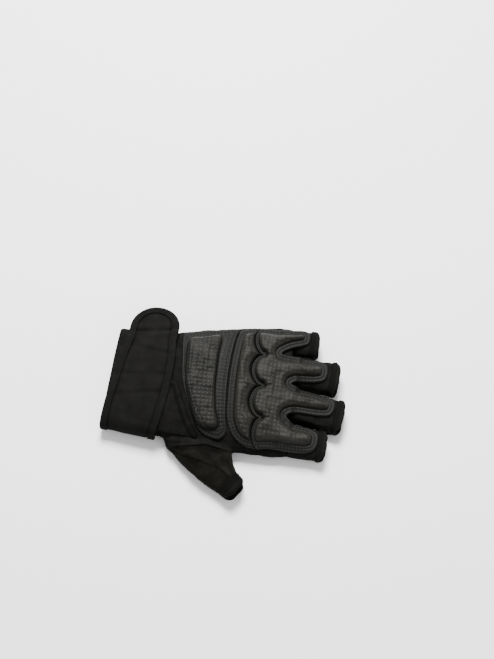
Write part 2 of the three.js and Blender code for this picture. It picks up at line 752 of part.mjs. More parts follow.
const wristPad = padSolid({
  edges: [wristEdge],
  feet: [{ line: wristFoam, start: 0 }],
  insetAt: (x, y) => (isInside(wristFoam, x, y) ? distanceTo(wristFoam, true, x, y) : 0),
  rise: WRIST_PAD_RISE,
});
const knuckleBar = padSolid({
  edges: [barRim.slice(0, -1), [...scallop].reverse().slice(0, -1)],
  feet: [
    { line: barRim, start: FLANGE_WIDTH },
    { line: [...scallop].reverse(), start: SCALLOP_FLANGE },
  ],
  insetAt: foamInset(barRim),
  rise: KNUCKLE_RISE,
});
const fingerGuard = padSolid({
  edges: [guardScallop.slice(0, -1), guardRim.slice(0, -1)],
  feet: [
    { line: guardScallop, start: SCALLOP_FLANGE },
    { line: guardRim, start: FLANGE_WIDTH },
  ],
  insetAt: foamInset(guardRim),
  rise: FINGER_PAD_RISE,
});

// The strap: from under the wrist, round the thumb's side, over the back and on past the edge as a tongue
const AROUND_STEPS = 18;
const TONGUE_STEPS = 8;
const SIDEWAYS_STEPS = 4;
const TIP_ROUNDING = 0.985;
const CUTTER_ROOM = 2;

function strapPoint(x, path, grow) {
  const section = handSection(THREE.MathUtils.clamp(handAlong(x), 0, 1));
  const start = radians(STRAP_START_ANGLE);
  const leave = radians(STRAP_LEAVE_ANGLE);
  const angle = THREE.MathUtils.lerp(start, leave, Math.min(path.around, 1));
  const [across, up] = sectionPoint({ ...section, floor: -FAR }, angle, CLEARANCE + grow);
  const droop = radians(TONGUE_DROOP);
  const out = path.out;
  return [x, section.centre + across + out * Math.cos(droop), up - out * Math.sin(droop)];
}

// A sheet between two heights over the wrist, inset by margin from the strap's edge. A cutter starts a step
// before the strap's sewn end, and the hook patch starts out on the tongue.
function strapSheet({ margin, low, high, first, fromOut }) {
  const upper = [];
  const lower = [];
  const tipRadius = (STRAP_ROWS.at(-1).width * STRAP_WIDTH) / 2;
  const steps = AROUND_STEPS + TONGUE_STEPS;
  for (let i = first; i <= steps; i += 1) {
    const around = Math.min(i / AROUND_STEPS, 1);
    const share = THREE.MathUtils.clamp((i - AROUND_STEPS) / TONGUE_STEPS, 0, 1);
    const eased = Math.sin((share * Math.PI) / 2);
    const out = (TONGUE_LENGTH - margin) * eased;
    if (out < fromOut) continue;
    const shift = column(STRAP_ROWS, "along", "shift", around) * STRAP_WIDTH;
    const width = column(STRAP_ROWS, "along", "width", around) * STRAP_WIDTH;
    const fromTip = TONGUE_LENGTH - margin - out;
    const round = tipRadius - margin;
    const rounded = THREE.MathUtils.clamp(1 - fromTip / round, 0, TIP_ROUNDING);
    const half = (width / 2 - margin) * Math.sqrt(1 - rounded ** 2);
    upper.push([]);
    lower.push([]);
    for (let j = 0; j <= SIDEWAYS_STEPS; j += 1) {
      const x = STRAP_X + shift + half * (1 - (2 * j) / SIDEWAYS_STEPS);
      upper.at(-1).push(strapPoint(x, { around, out }, high));
      lower.at(-1).push(strapPoint(x, { around, out }, low));
    }
  }
  return slab(upper, lower);
}

const strapCutter = (margin) =>
  strapSheet({ margin, low: -CUTTER_ROOM, high: STRAP_THICKNESS + CUTTER_ROOM, first: -1, fromOut: 0 });
const strapLayer = (thickness) => strapSheet({ margin: 0, low: 0, high: thickness, first: 0, fromOut: 0 });
const strapFace = strapLayer(STRAP_THICKNESS).intersect(strapCutter(BINDING_WIDTH + CUT));
const strapBinding = strapLayer(STRAP_THICKNESS + BINDING_STEP).subtract(strapCutter(BINDING_WIDTH));
const hookPatch = strapSheet({
  margin: BINDING_WIDTH + HOOK_MARGIN,
  low: -CUT - HOOK_THICKNESS,
  high: -CUT,
  first: 0,
  fromOut: TONGUE_LENGTH - BINDING_WIDTH - HOOK_LENGTH,
});

// The flap of the wrist wrap: a layer on the hand's back, between the strap and the wrist pad
const FLAP_CORNERS = [
  { along: 0.28, across: 0.02 },
  { along: 0.32, across: 0.3 },
  { along: 0.34, across: 0.49 },
  { along: 0.378, across: 0.475 },
  { along: 0.425, across: 0.325 },
  { along: 0.48, across: 0.165 },
  { along: 0.535, across: 0.065 },
  { along: 0.53, across: 0.03 },
];
const flapPlan = prism(FLAP_CORNERS.map((p) => onHand(p.along, p.across)), SEAM_HEIGHT, FAR);
const flapLayer = handSolid(CLEARANCE + FLAP_THICKNESS, 0, 1)
  .intersect(flapPlan)
  .subtract(seat)
  .subtract(strapCutter(-FLAP_GAP));

// Materials
const knit = new THREE.MeshStandardMaterial({ color: 0x1d1d1d, roughness: 0.95, metalness: 0 });
const suede = new THREE.MeshStandardMaterial({ color: 0x191714, roughness: 1.0, metalness: 0 });
const mesh = new THREE.MeshStandardMaterial({ color: 0x1a1a19, roughness: 0.95, metalness: 0 });
const leather = new THREE.MeshStandardMaterial({ color: 0x3b3a37, roughness: 0.55, metalness: 0 });
const webbing = new THREE.MeshStandardMaterial({ color: 0x20201f, roughness: 0.9, metalness: 0 });
const edging = new THREE.MeshStandardMaterial({ color: 0x1b1b1b, roughness: 0.85, metalness: 0 });
const hooks = new THREE.MeshStandardMaterial({ color: 0x121212, roughness: 0.8, metalness: 0 });

const glove = new THREE.Group();

function addPiece(name, solid, material) {
  const made = solid.getMesh();
  const positions = new Float32Array(made.numVert * 3);
  for (let i = 0; i < made.numVert; i += 1) {
    positions.set(made.vertProperties.subarray(i * made.numProp, i * made.numProp + 3), i * 3);
  }
  const geometry = new THREE.BufferGeometry();
  geometry.setAttribute("position", new THREE.BufferAttribute(positions, 3));
  geometry.setIndex(new THREE.BufferAttribute(made.triVerts, 1));
  geometry.computeVertexNormals();
  const piece = new THREE.Mesh(geometry, material);
  piece.name = name;
  glove.add(piece);
}

// The sewn shell
addPiece("cuff", shell.intersect(wristSide), knit);
addPiece("palm", shell.intersect(handSide).intersect(below).subtract(hemmed), suede);
addPiece("hand_back", shell.intersect(handSide).intersect(above).intersect(beforeWebs), knit);
FINGERS.forEach((finger, k) => {
  const length = finger.length * FINGER_LENGTH;
  const body = fingerSolid(finger, 0, -FINGER_ROOT_DEPTH, length);
  const hollow = fingerSolid(finger, -FABRIC_WALL, -FINGER_ROOT_DEPTH - OVER, length + OVER);
  const stall = body.subtract(hollow).intersect(pastWebs).intersect(above).subtract(hemRegions[k]);
  addPiece(finger.name + "_stall", stall, knit);
  const wide = fingerSolid(finger, HEM_STEP, -FINGER_ROOT_DEPTH, length);
  const hem = wide.subtract(hollow).intersect(fingerRegion(finger, length - HEM_WIDTH, length + OVER));
  addPiece(finger.name + "_hem", hem, edging);
});
const thumbShell = shell.intersect(thumbSide).subtract(hemmed);
addPiece("thumb_mesh", thumbShell.intersect(meshRegion(CUT / 2)).intersect(above), mesh);
addPiece("thumb_suede", thumbShell.subtract(meshRegion(-CUT / 2).subtract(below)), suede);
const thumbSleeve = thumbSolid(HEM_STEP, 0).subtract(thumbSolid(-FABRIC_WALL, OVER));
addPiece("thumb_hem", thumbSleeve.intersect(thumbEnd(THUMB_HEM)), edging);

// The pieces on top of it
addPiece("wrist_pad", wristPad, leather);
addPiece("knuckle_bar", knuckleBar, leather);
addPiece("finger_guard", fingerGuard, leather);
addPiece("wrist_flap", flapLayer, knit);
addPiece("strap", strapFace, webbing);
addPiece("strap_binding", strapBinding, edging);
addPiece("hook_patch", hookPatch, hooks);

// The frame's origin lies under the middle of the whole glove.
const extent = new THREE.Box3().setFromObject(glove);
const middle = extent.getCenter(new THREE.Vector3());
glove.position.set(-middle.x, -middle.y, -extent.min.z);

export default glove;
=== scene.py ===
# %% [markdown]
# # A padded sparring glove, sewn in code
# A half-finger glove is a hollow fabric shell with padded leather panels sewn on its back and a wide
# strap round its wrist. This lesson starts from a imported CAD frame, which fixes every size, and sews a
# soft, detailed glove over it. Each step first says what the piece is on the real glove, and then makes
# it.

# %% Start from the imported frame
import math
from dataclasses import dataclass

import bmesh
import bpy
import numpy as np
from mathutils import Matrix, Vector, noise
from mathutils.bvhtree import BVHTree
from mathutils.geometry import delaunay_2d_cdt
from mathutils.kdtree import KDTree


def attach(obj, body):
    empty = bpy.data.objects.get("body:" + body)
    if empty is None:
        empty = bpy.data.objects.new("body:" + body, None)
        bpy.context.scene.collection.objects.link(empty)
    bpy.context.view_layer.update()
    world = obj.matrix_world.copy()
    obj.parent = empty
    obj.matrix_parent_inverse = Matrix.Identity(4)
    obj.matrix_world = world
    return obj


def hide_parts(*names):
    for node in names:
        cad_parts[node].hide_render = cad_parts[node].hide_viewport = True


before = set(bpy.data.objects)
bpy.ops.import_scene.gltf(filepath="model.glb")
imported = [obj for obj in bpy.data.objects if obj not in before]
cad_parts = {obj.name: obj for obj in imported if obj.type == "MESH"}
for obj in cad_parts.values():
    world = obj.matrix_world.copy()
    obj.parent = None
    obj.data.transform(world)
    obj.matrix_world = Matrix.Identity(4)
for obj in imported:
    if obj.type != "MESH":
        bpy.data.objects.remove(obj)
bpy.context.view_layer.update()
MM = 0.001
SHIFT = np.array([-1.5949, 0.1023, 0.0])  # the frame's origin lies under the middle of the glove

# %% [markdown]
# ## The camera
# A camera could be placed by eye. Here its height and turn come from how the glove's edges run together
# in the picture: it looks down steeply, from a little over a metre, a little from the wrist's side. The
# lens is counted on the picture's long, upright side.

# %% Camera
TURN, HEIGHT, DISTANCE = math.radians(9.3), math.radians(68.0), 1250.0
AIM_ASIDE, AIM_UP, AIM_HEIGHT = 20.98, 66.07, 20.0  # from the hand's origin to the middle of the picture
FOCAL, LONG_SIDE, SENSOR = 1400.0, 659.0, 36.0
right = Vector((math.cos(TURN), math.sin(TURN), 0.0))
back = Vector((math.sin(TURN) * math.cos(HEIGHT), -math.cos(TURN) * math.cos(HEIGHT), math.sin(HEIGHT)))
up = back.cross(right)
aim = Vector((SHIFT[0], SHIFT[1], AIM_HEIGHT)) + AIM_ASIDE * right + AIM_UP * up
camera = bpy.data.objects.new("camera", bpy.data.cameras.new("camera"))
camera.data.sensor_fit = "VERTICAL"
camera.data.sensor_height = SENSOR
camera.data.lens = FOCAL / LONG_SIDE * SENSOR
turned = Matrix((right, up, back)).transposed().to_4x4()
turned.translation = (aim + DISTANCE * back) * MM
camera.matrix_world = turned
bpy.context.scene.collection.objects.link(camera)
bpy.context.scene.camera = camera
print("camera: lens %.1f mm" % camera.data.lens)

# %% [markdown]
# ## Tables of the glove
# The frame was drawn from a few short tables: sections of the hand, the four finger stalls and the
# thumb. The same tables are used again here, in millimetres, so that every soft piece lies where the
# frame says. A cubic through each column gives smooth values between the rows.

# %% Sizes of the hand, fingers and thumb
HAND_LENGTH, WRIST_X, PALM_WIDTH, BODY_HEIGHT = 163.0, -105.0, 122.0, 27.0
CUFF_EDGE = -52.0  # where the cuff is sewn to the hand
WIDEST, SEAM_Z = 9.5, 8.0  # heights of the widest line and of the side seams
FLAT_SINK = 0.9  # how far the round section would dip below the floor, which makes the palm flat
WEB_SKEW, SKEW_FROM = 9.0, 0.6  # the webs lie further back on the little finger's side
STRAP_THICKNESS, BINDING_STEP, CLEARANCE = 3.2, 0.4, 0.35
STRAP_ROOM = STRAP_THICKNESS + BINDING_STEP + 2 * CLEARANCE  # the wrist lies this high, on the strap
TOP_ROUND, BOTTOM_ROUND = 2.5, 3.4  # powers of the section's curve: 2 is an oval, and more is squarer
FINGER_LENGTH, FINGER_WIDTH, FINGER_HEIGHT, FINGER_LIFT, FINGER_TAPER = 49.0, 30.0, 20.0, 1.2, 2.0
HEM_WIDTH, THUMB_HEM = 7.5, 12.0
THUMB_LENGTH, THUMB_WIDTH, THUMB_HEIGHT = 57.0, 63.0, 19.0
THUMB_X, THUMB_Y, THUMB_SEAM_Y = -17.0, -38.0, -41.5

# along, thumb's side, little finger's side, top, lift
HAND_ROWS = [
    (0.0, -0.279, 0.484, 0.86, 1), (0.1, -0.287, 0.49, 0.98, 1), (0.33, -0.303, 0.52, 1.0, 1),
    (0.45, -0.316, 0.573, 0.99, 0.1), (0.6, -0.328, 0.618, 0.96, 0), (0.78, -0.33, 0.662, 0.93, 0),
    (0.9, -0.325, 0.683, 0.85, 0), (1.0, -0.305, 0.688, 0.76, 0),
]
# name, root along the hand, across it, splay in degrees, length, width at the root and at the tip
FINGERS = [
    ("index", 1.005, -0.176, -2.0, 0.765, 0.97, 0.87), ("middle", 1.0, 0.098, -6.5, 1.02, 1.0, 1.03),
    ("ring", 0.99, 0.346, 0.0, 0.87, 0.98, 1.03), ("little", 0.94, 0.572, 5.0, 0.58, 0.84, 0.8),
]
# row, x, out, heading, width, top, seam
THUMB_ROWS = [
    (0, -0.05, -0.34, -90, 0.86, 0.9, 0.0), (1, 0.0, 0.03, -90, 0.97, 1.0, 0.03),
    (2, 0.14, 0.2, -83, 0.79, 0.98, 0.09), (3, 0.29, 0.365, -75, 0.62, 0.96, 0.57),
    (4, 0.46, 0.495, -62, 0.475, 0.95, 0.67), (5, 0.62, 0.59, -49, 0.38, 0.96, 0.66),
    (6, 0.74, 0.665, -36, 0.34, 0.98, 0.64),
]


def between_rows(rows, where):
    """Values of every column of a table at the places asked for."""
    rows = np.array(rows, float)
    at, values = rows[:, 0], rows[:, 1:]
    where = np.atleast_1d(np.asarray(where, float))
    i = np.clip(np.searchsorted(at, where, side="left") - 1, 0, len(at) - 2)
    before, after = np.maximum(np.arange(len(at)) - 1, 0), np.minimum(np.arange(len(at)) + 1, len(at) - 1)
    slope = (values[after] - values[before]) / (at[after] - at[before])[:, None]
    span = (at[i + 1] - at[i])[:, None]
    t = np.clip((where[:, None] - at[i][:, None]) / span, 0, 1)
    s = 1 - t
    return (values[i] * (1 + 2 * t) * s * s + values[i + 1] * (3 - 2 * t) * t * t
            + slope[i] * span * t * s * s - slope[i + 1] * span * s * t * t).T


def hand_section(along):
    """The hand's section: its middle, half width and heights, at shares of the hand's length."""
    low, high, top, lift = between_rows(HAND_ROWS, np.clip(along, 0, 1))
    low, high, lift = low * PALM_WIDTH, high * PALM_WIDTH, np.maximum(lift, 0) * STRAP_ROOM
    return {"centre": (low + high) / 2, "half": (high - low) / 2, "mid": WIDEST + lift / 2,
            "top": top * BODY_HEIGHT, "bottom": np.where(lift > 0, lift, -FLAT_SINK), "floor": lift}


def single(section):
    """A section at one place, with its numbers taken out of their arrays."""
    return {key: float(np.ravel(value)[0]) for key, value in section.items()}


def section_curve(section, angle, grow=0.0):
    """Points of a rounded section, flat below and domed above, as (across, up)."""
    c, s = np.cos(angle), np.sin(angle)
    power = np.where(s >= 0, 2 / TOP_ROUND, 2 / BOTTOM_ROUND)
    across = (section["half"] + grow) * np.sign(c) * np.abs(c) ** power
    above, below = section["top"] - section["mid"] + grow, section["mid"] - section["bottom"] + grow
    height = section["mid"] + np.where(s >= 0, above, below) * np.sign(s) * np.abs(s) ** power
    return across, np.maximum(height, section["floor"] - np.minimum(grow, 0))


def dome(section, across):
    """Height of a section's back over a distance from its middle."""
    share = np.clip(np.abs(across) / section["half"], 0, 0.97)
    return section["mid"] + (section["top"] - section["mid"]) * (1 - share ** TOP_ROUND) ** (1 / TOP_ROUND)


def hand_x(along):
    return WRIST_X + np.asarray(along) * HAND_LENGTH


def on_hand(along, across):
    """A point of the plan: along the hand, and across it from the thumb's side."""
    section = hand_section(along)
    return np.stack([hand_x(along) + 0 * section["half"],
                     section["centre"] + (2 * np.asarray(across) - 1) * section["half"]], -1)


print("hand: %.0f mm wide at the knuckles" % (2 * single(hand_section(0.9))["half"]))

# %% [markdown]
# ## Finger and thumb frames
# Each stall has its own small axis: forward along the finger, left towards the little finger's side.
# The thumb's axis bends, so it is a row of sections with a heading of its own.

# %% Finger and thumb frames


class Finger:
    """One finger stall: its axis on the plan and its section at a distance from its root."""

    def __init__(self, row):
        self.name, root, across, splay, length, self.root_width, self.tip_width = row
        self.origin = np.array([hand_x(root), across * PALM_WIDTH])
        heading = math.radians(splay)
        self.forward = np.array([math.cos(heading), math.sin(heading)])
        self.left = np.array([-math.sin(heading), math.cos(heading)])
        self.length = length * FINGER_LENGTH

    def on(self, forward, left):
        forward, left = np.broadcast_arrays(np.asarray(forward, float), np.asarray(left, float))
        return self.origin + forward[..., None] * self.forward + left[..., None] * self.left

    def local(self, xy):
        offset = xy - self.origin
        return offset @ self.forward, offset @ self.left

    def section(self, forward):
        share = np.clip(np.asarray(forward, float) / self.length, 0, 1)
        width = (self.root_width + (self.tip_width - self.root_width) * share ** 2) * FINGER_WIDTH
        return {"half": width / 2, "mid": WIDEST, "top": FINGER_HEIGHT - FINGER_TAPER * share,
                "bottom": FINGER_LIFT * share - FLAT_SINK, "floor": FINGER_LIFT * share}

    def past_end(self, forward, left):
        """The same as on, counted from the stall's opening."""
        return self.on(self.length + np.asarray(forward), left)

    def section_past_end(self, forward):
        return single(self.section(self.length + float(np.mean(forward))))


fingers = [Finger(row) for row in FINGERS]


THUMB_LAST = THUMB_ROWS[-1][0]
THUMB_STEP = 10  # millimetres that the thumb runs on for each place past its last row


def thumb_row(place):
    """x, out, heading, width, top and seam between the thumb's rows; past the last it runs straight."""
    place = np.atleast_1d(np.asarray(place, float))
    x, out, heading, width, top, seam = between_rows(THUMB_ROWS, place)
    beyond = np.maximum(place - THUMB_LAST, 0) * THUMB_STEP / THUMB_LENGTH
    angle = np.radians(heading)
    return x + beyond * np.cos(angle), out - beyond * np.sin(angle), angle, width, top, seam


def on_thumb(row, across):
    x, out, angle = row[0], row[1], row[2]
    return np.stack([THUMB_X + x * THUMB_LENGTH - across * np.sin(angle),
                     THUMB_Y - out * THUMB_LENGTH + across * np.cos(angle)], -1)


def thumb_section(row):
    lift = FINGER_LIFT * np.clip(row[1] / THUMB_ROWS[-1][2], 0, 1)
    return {"half": row[3] * THUMB_WIDTH / 2, "mid": WIDEST, "top": row[4] * THUMB_HEIGHT,
            "bottom": lift - FLAT_SINK, "floor": lift}


thumb_end = on_thumb(thumb_row(THUMB_LAST), 0)[0]
thumb_heading = math.radians(THUMB_ROWS[-1][3])
thumb_forward = np.array([math.cos(thumb_heading), math.sin(thumb_heading)])
print("fingers:", [(f.name, round(f.length)) for f in fingers], "thumb ends at", thumb_end.round(1))

# %% [markdown]
# ## Small tools for making pieces
# Every piece becomes a mesh from arrays of points and faces. One helper turns millimetres into the
# frame's metres, turns every face outward, names the piece, gives it its material, makes it ride on the
# glove's one body and hides the frame parts that it stands for.

# %% Mesh helpers


def face_outward(mesh):
    """Turns the faces of closed skins so that they all look outward."""
    skins = bmesh.new()
    skins.from_mesh(mesh)
    bmesh.ops.recalc_face_normals(skins, faces=skins.faces)
    skins.to_mesh(mesh)
    skins.free()


def new_piece(name, points, faces, material, replaces=(), cut=None, shade=None):
    """A mesh object from points in millimetres. cut holds the flat pattern's places, kept as its UV map,
    and shade is painted shade at each point: 1 on an open crown, 0 deep in a groove."""
    mesh = bpy.data.meshes.new(name)
    placed = (np.asarray(points, float) + SHIFT) * MM
    mesh.from_pydata(placed.tolist(), [], [tuple(int(i) for i in f) for f in faces])
    mesh.validate()
    face_outward(mesh)
    mesh.polygons.foreach_set("use_smooth", [True] * len(mesh.polygons))
    mesh.materials.append(material)
    piece = bpy.data.objects.new(name, mesh)
    bpy.context.scene.collection.objects.link(piece)
    if cut is not None:
        corners = np.zeros(len(mesh.loops), int)
        mesh.loops.foreach_get("vertex_index", corners)
        mesh.uv_layers.new(name="cut").data.foreach_set("uv", np.asarray(cut, float)[corners].ravel())
    # painted shade: the materials hold the base colour to its dark tone where this is low
    shade = np.ones(len(mesh.vertices)) if shade is None else np.asarray(shade, float)
    mesh.attributes.new("shade", "FLOAT", "POINT").data.foreach_set("value", shade)
    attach(piece, "root")
    if replaces:
        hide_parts(*replaces)
    return piece


def joined(parts):
    """Several (points, faces) made one."""
    points, faces, start = [], [], 0
    for some, their in parts:
        points.append(np.asarray(some, float))
        faces.extend([tuple(i + start for i in f) for f in their])
        start += len(some)
    return np.concatenate(points), faces


def skin(rows, count, closed=False):
    """Quads between rings of points, with count points in each ring."""
    return [(i * count + j, i * count + (j + 1) % count,
             (i + 1) % rows * count + (j + 1) % count, (i + 1) % rows * count + j)
            for i in range(rows if closed else rows - 1) for j in range(count)]


def caps(rows, count):
    """The two end faces of an open skin."""
    return [tuple(range(count - 1, -1, -1)), tuple((rows - 1) * count + j for j in range(count))]


def loft(rings):
    """A closed skin through rings of equal count, with a fan on both ends."""
    rings = np.asarray(rings, float)
    count = rings.shape[1]
    last = (len(rings) - 1) * count
    points = np.concatenate([rings.reshape(-1, 3), rings[:1].mean(1), rings[-1:].mean(1)])
    near, far = len(points) - 2, len(points) - 1
    faces = skin(len(rings), count)
    faces += [(near, (j + 1) % count, j) for j in range(count)]
    faces += [(far, last + j, last + (j + 1) % count) for j in range(count)]
    return points, faces


def band(rings, closed):
    """A skin over rings[i, j], with i along a path and j round its profile."""
    rows, count = rings.shape[:2]
    return rings.reshape(-1, 3), skin(rows, count, closed) + ([] if closed else caps(rows, count))


def turns(count):
    """Even angles round a circle."""
    return np.linspace(0, 2 * math.pi, count + 1)[:-1]


def run_along(line):
    """The distance along a line at each of its points."""
    return np.concatenate([[0], np.cumsum(np.linalg.norm(np.diff(line, axis=0), axis=1))])


def resampled(line, step, closed):
    """The same line with even steps."""
    line = np.asarray(line, float)
    if closed:
        line = np.vstack([line, line[:1]])
    run = run_along(line)
    count = max(int(round(run[-1] / step)), 3)
    at = np.linspace(0, run[-1], count + 1)
    even = np.stack([np.interp(at, run, line[:, k]) for k in range(line.shape[1])], -1)
    return even[:-1] if closed else even


def nearest_on(line, points, closed=False):
    """Distance from each point of the plan to a line, and how far along the line the nearest place is."""
    best, run_there, run = np.full(len(points), np.inf), np.zeros(len(points)), 0.0
    ends = np.vstack([line, line[:1]]) if closed else line
    for a, b in zip(ends[:-1], ends[1:]):
        along = b - a
        t = np.clip(((points - a) @ along) / max(along @ along, 1e-12), 0, 1)
        away = ((points - a - t[:, None] * along) ** 2).sum(1)
        closer = away < best
        best = np.where(closer, away, best)
        run_there = np.where(closer, run + t * np.linalg.norm(along), run_there)
        run += np.linalg.norm(along)
    return np.sqrt(best), run_there


def distance_to(line, points, closed=False):
    return nearest_on(line, points, closed)[0]


def inside(outline, points):
    """True for the points of the plan that lie within a closed outline."""
    x, y = points[:, 0], points[:, 1]
    found = np.zeros(len(points), bool)
    for (ax, ay), (bx, by) in zip(outline, np.roll(outline, -1, axis=0)):
        if ay != by:
            found ^= ((ay > y) != (by > y)) & (x < ax + (y - ay) / (by - ay) * (bx - ax))
    return found


def ease(value, low, high):
    t = np.clip((np.asarray(value, float) - low) / (high - low), 0, 1)
    return t * t * (3 - 2 * t)


def smooth_noise(points, size, seed=0.0):
    """Soft noise from about -1 to 1 with lumps of a given size in millimetres."""
    flat = np.asarray(points, float) / size + seed
    if flat.shape[1] == 2:
        flat = np.column_stack([flat, np.full(len(flat), seed)])
    return np.array([noise.noise(Vector(p)) for p in flat])


print("helpers ready")

# %% [markdown]
# ## Cloth and leather finishes
# None of the finishes is an image. Each is a small network of nodes: a pattern in millimetres gives
# height, the height drives a Bump, and a slow noise varies the colour a little, as dye and wear do.
# Knit is rows of small loops, suede is a fine nap, the strap is brushed loop cloth, and the leather has
# a fine grain.

# %% Finish helpers
# millimetres between the loops, ribs, holes and strands of each cloth
KNIT_COLUMN, KNIT_ROW = 1.1, 0.9
MESH_RIB, MESH_HOLE, MESH_SLANT = 1.8, 1.2, 0.85
WEFT, WARP, TAPE_RIB, TWIST = 1.2, 0.9, 0.8, 0.5
PEBBLE = 0.55  # size of the leather's grain


def finish(name, colour, rough, specular, sheen=0.0):
    """A Principled material and its nodes."""
    material = bpy.data.materials.new(name)
    material.use_nodes = True
    nodes = material.node_tree.nodes
    shader = nodes["Principled BSDF"]
    shader.inputs["Base Color"].default_value = (*colour, 1)
    shader.inputs["Roughness"].default_value = rough
    shader.inputs["Specular IOR Level"].default_value = specular
    shader.inputs["Sheen Weight"].default_value = sheen
    shader.inputs["Sheen Roughness"].default_value = 0.5
    return material, material.node_tree, shader


def node(tree, kind, values=(), **settings):
    """A new node with its settings and the values of its inputs, numbers or other nodes' outputs."""
    made = tree.nodes.new(kind)
    for key, value in settings.items():
        setattr(made, key, value)
    for key, value in dict(values).items():
        if isinstance(value, bpy.types.NodeSocket):
            tree.links.new(value, made.inputs[key])
        else:
            made.inputs[key].default_value = value
    return made


def maths(tree, operation, *values):
    return node(tree, "ShaderNodeMath", enumerate(values), operation=operation).outputs[0]


def millimetres(tree, cut=False):
    """The place on the piece in millimetres, from its cut pattern or from the frame."""
    where = tree.nodes.new("ShaderNodeTexCoord").outputs["UV" if cut else "Object"]
    if cut:
        return where
    scaled = node(tree, "ShaderNodeVectorMath", {0: where}, operation="SCALE")
    scaled.inputs["Scale"].default_value = 1000.0
    return scaled.outputs[0]


def lumps(tree, where, size, detail=2.0):
    """Noise from 0 to 1 with lumps of a size in millimetres."""
    values = {"Vector": where, "Scale": 1.0 / size, "Detail": detail}
    return node(tree, "ShaderNodeTexNoise", values).outputs[0]


def ripple(tree, value, pitch):
    """A sine from -1 to 1 that repeats every pitch."""
    return maths(tree, "SINE", maths(tree, "MULTIPLY", value, 2 * math.pi / pitch))


def blend(tree, value, factor, added):
    """value * factor + added, where each may be a number or a node's output."""
    return maths(tree, "ADD", maths(tree, "MULTIPLY", value, factor), added)


def raise_by(tree, shader, height, depth):
    """Height from 0 to 1 as relief of a depth in millimetres."""
    bump = node(tree, "ShaderNodeBump", {"Height": height, "Distance": depth * MM, "Strength": 1.0})
    tree.links.new(bump.outputs[0], shader.inputs["Normal"])


def tint(tree, shader, amount, dark, light):
    """The base colour between two tones, held to the dark one where the piece's painted shade is low."""
    mixed = node(tree, "ShaderNodeMix", data_type="RGBA")
    shade = node(tree, "ShaderNodeAttribute", attribute_name="shade").outputs["Fac"]
    tree.links.new(maths(tree, "MULTIPLY", amount, shade), mixed.inputs[0])
    mixed.inputs[6].default_value = (*dark, 1)
    mixed.inputs[7].default_value = (*light, 1)
    tree.links.new(mixed.outputs[2], shader.inputs["Base Color"])


def grey(value, warm=0.08):
    """Almost grey: black dye on cloth and leather leans a little to olive."""
    return (value * (1 + 0.2 * warm), value, value * (1 - warm))


def knit_cloth(name, tone):
    """Jersey knit: columns of small V-shaped loops."""
    material, tree, shader = finish(name, grey(tone), 1.0, 0.02)
    where = node(tree, "ShaderNodeSeparateXYZ", {0: millimetres(tree)})
    column = maths(tree, "PINGPONG", maths(tree, "DIVIDE", where.outputs[1], KNIT_COLUMN), 0.5)
    row = maths(tree, "ADD", maths(tree, "DIVIDE", where.outputs[0], KNIT_ROW), column)
    loops = maths(tree, "MULTIPLY", ripple(tree, row, 1.0), 0.35)
    fuzz = lumps(tree, millimetres(tree), 0.35)
    raise_by(tree, shader, maths(tree, "ADD", blend(tree, ripple(tree, column, 1.0), 0.4, loops), fuzz), 0.22)
    tint(tree, shader, lumps(tree, millimetres(tree), 7.0, 5.0), grey(tone * 0.3), grey(tone * 1.7))
    return material


def suede_leather(name, tone):
    """Suede: a fine, uneven nap with soft strokes and wide, darker worn patches."""
    material, tree, shader = finish(name, grey(tone, 0.2), 1.0, 0.02, sheen=0.01)
    nap = lumps(tree, millimetres(tree), 0.6, 6.0)
    strokes = lumps(tree, millimetres(tree), 4.5, 6.0)
    raise_by(tree, shader, blend(tree, strokes, 0.8, nap), 0.3)
    patches = maths(tree, "MULTIPLY_ADD", lumps(tree, millimetres(tree), 15.0, 7.0), 1.7, -0.35)
    worn = blend(tree, strokes, 0.4, maths(tree, "MULTIPLY", patches, 0.6))
    tint(tree, shader, worn, grey(tone * 0.2, 0.1), grey(tone * 1.7, 0.25))
    return material


def air_mesh(name, tone):
    """Spacer mesh: slanting ribs with a row of small holes between them."""
    material, tree, shader = finish(name, grey(tone, 0.15), 0.95, 0.03)
    where = node(tree, "ShaderNodeSeparateXYZ", {0: millimetres(tree)})
    x, y = where.outputs[0], where.outputs[1]
    rib = ripple(tree, blend(tree, x, MESH_SLANT, y), MESH_RIB)
    along = maths(tree, "SUBTRACT", x, maths(tree, "MULTIPLY", y, MESH_SLANT))
    height = blend(tree, ripple(tree, along, MESH_HOLE), 0.5, rib)
    raise_by(tree, shader, height, 0.2)
    blotch = maths(tree, "SUBTRACT", lumps(tree, millimetres(tree), 8.0, 4.0), 0.5)
    tone_at = blend(tree, blotch, 1.6, maths(tree, "MULTIPLY_ADD", height, 0.22, 0.5))
    tint(tree, shader, tone_at, grey(tone * 0.3, 0.1), grey(tone * 1.6, 0.2))
    return material


def grained_leather(name, tone):
    """Coated leather: a fine pebble grain, a satin coat, and painted shade that turns its grooves blue-black.
    """
    material, tree, shader = finish(name, grey(tone, 0.15), 0.55, 0.08)
    grain = node(tree, "ShaderNodeTexVoronoi", {"Vector": millimetres(tree), "Scale": 1 / PEBBLE}).outputs[0]
    raise_by(tree, shader, blend(tree, grain, 0.3, lumps(tree, millimetres(tree), 1.1, 5.0)), 0.22)
    wear = lumps(tree, millimetres(tree), 9.0, 6.0)
    speckle = maths(tree, "MULTIPLY_ADD", lumps(tree, millimetres(tree), 1.3, 3.0), 1.6, -0.8)
    amount = blend(tree, speckle, 0.7, maths(tree, "MULTIPLY_ADD", wear, 1.0, 0.35))
    # the blue-black tone is painted shade, reached where the piece's shade is low
    tint(tree, shader, amount, (tone * 0.12, tone * 0.124, tone * 0.135), grey(tone * 1.2, 0.17))
    roughness = node(tree, "ShaderNodeMapRange", {0: wear, 3: 0.45, 4: 0.62})
    tree.links.new(roughness.outputs[0], shader.inputs["Roughness"])
    return material


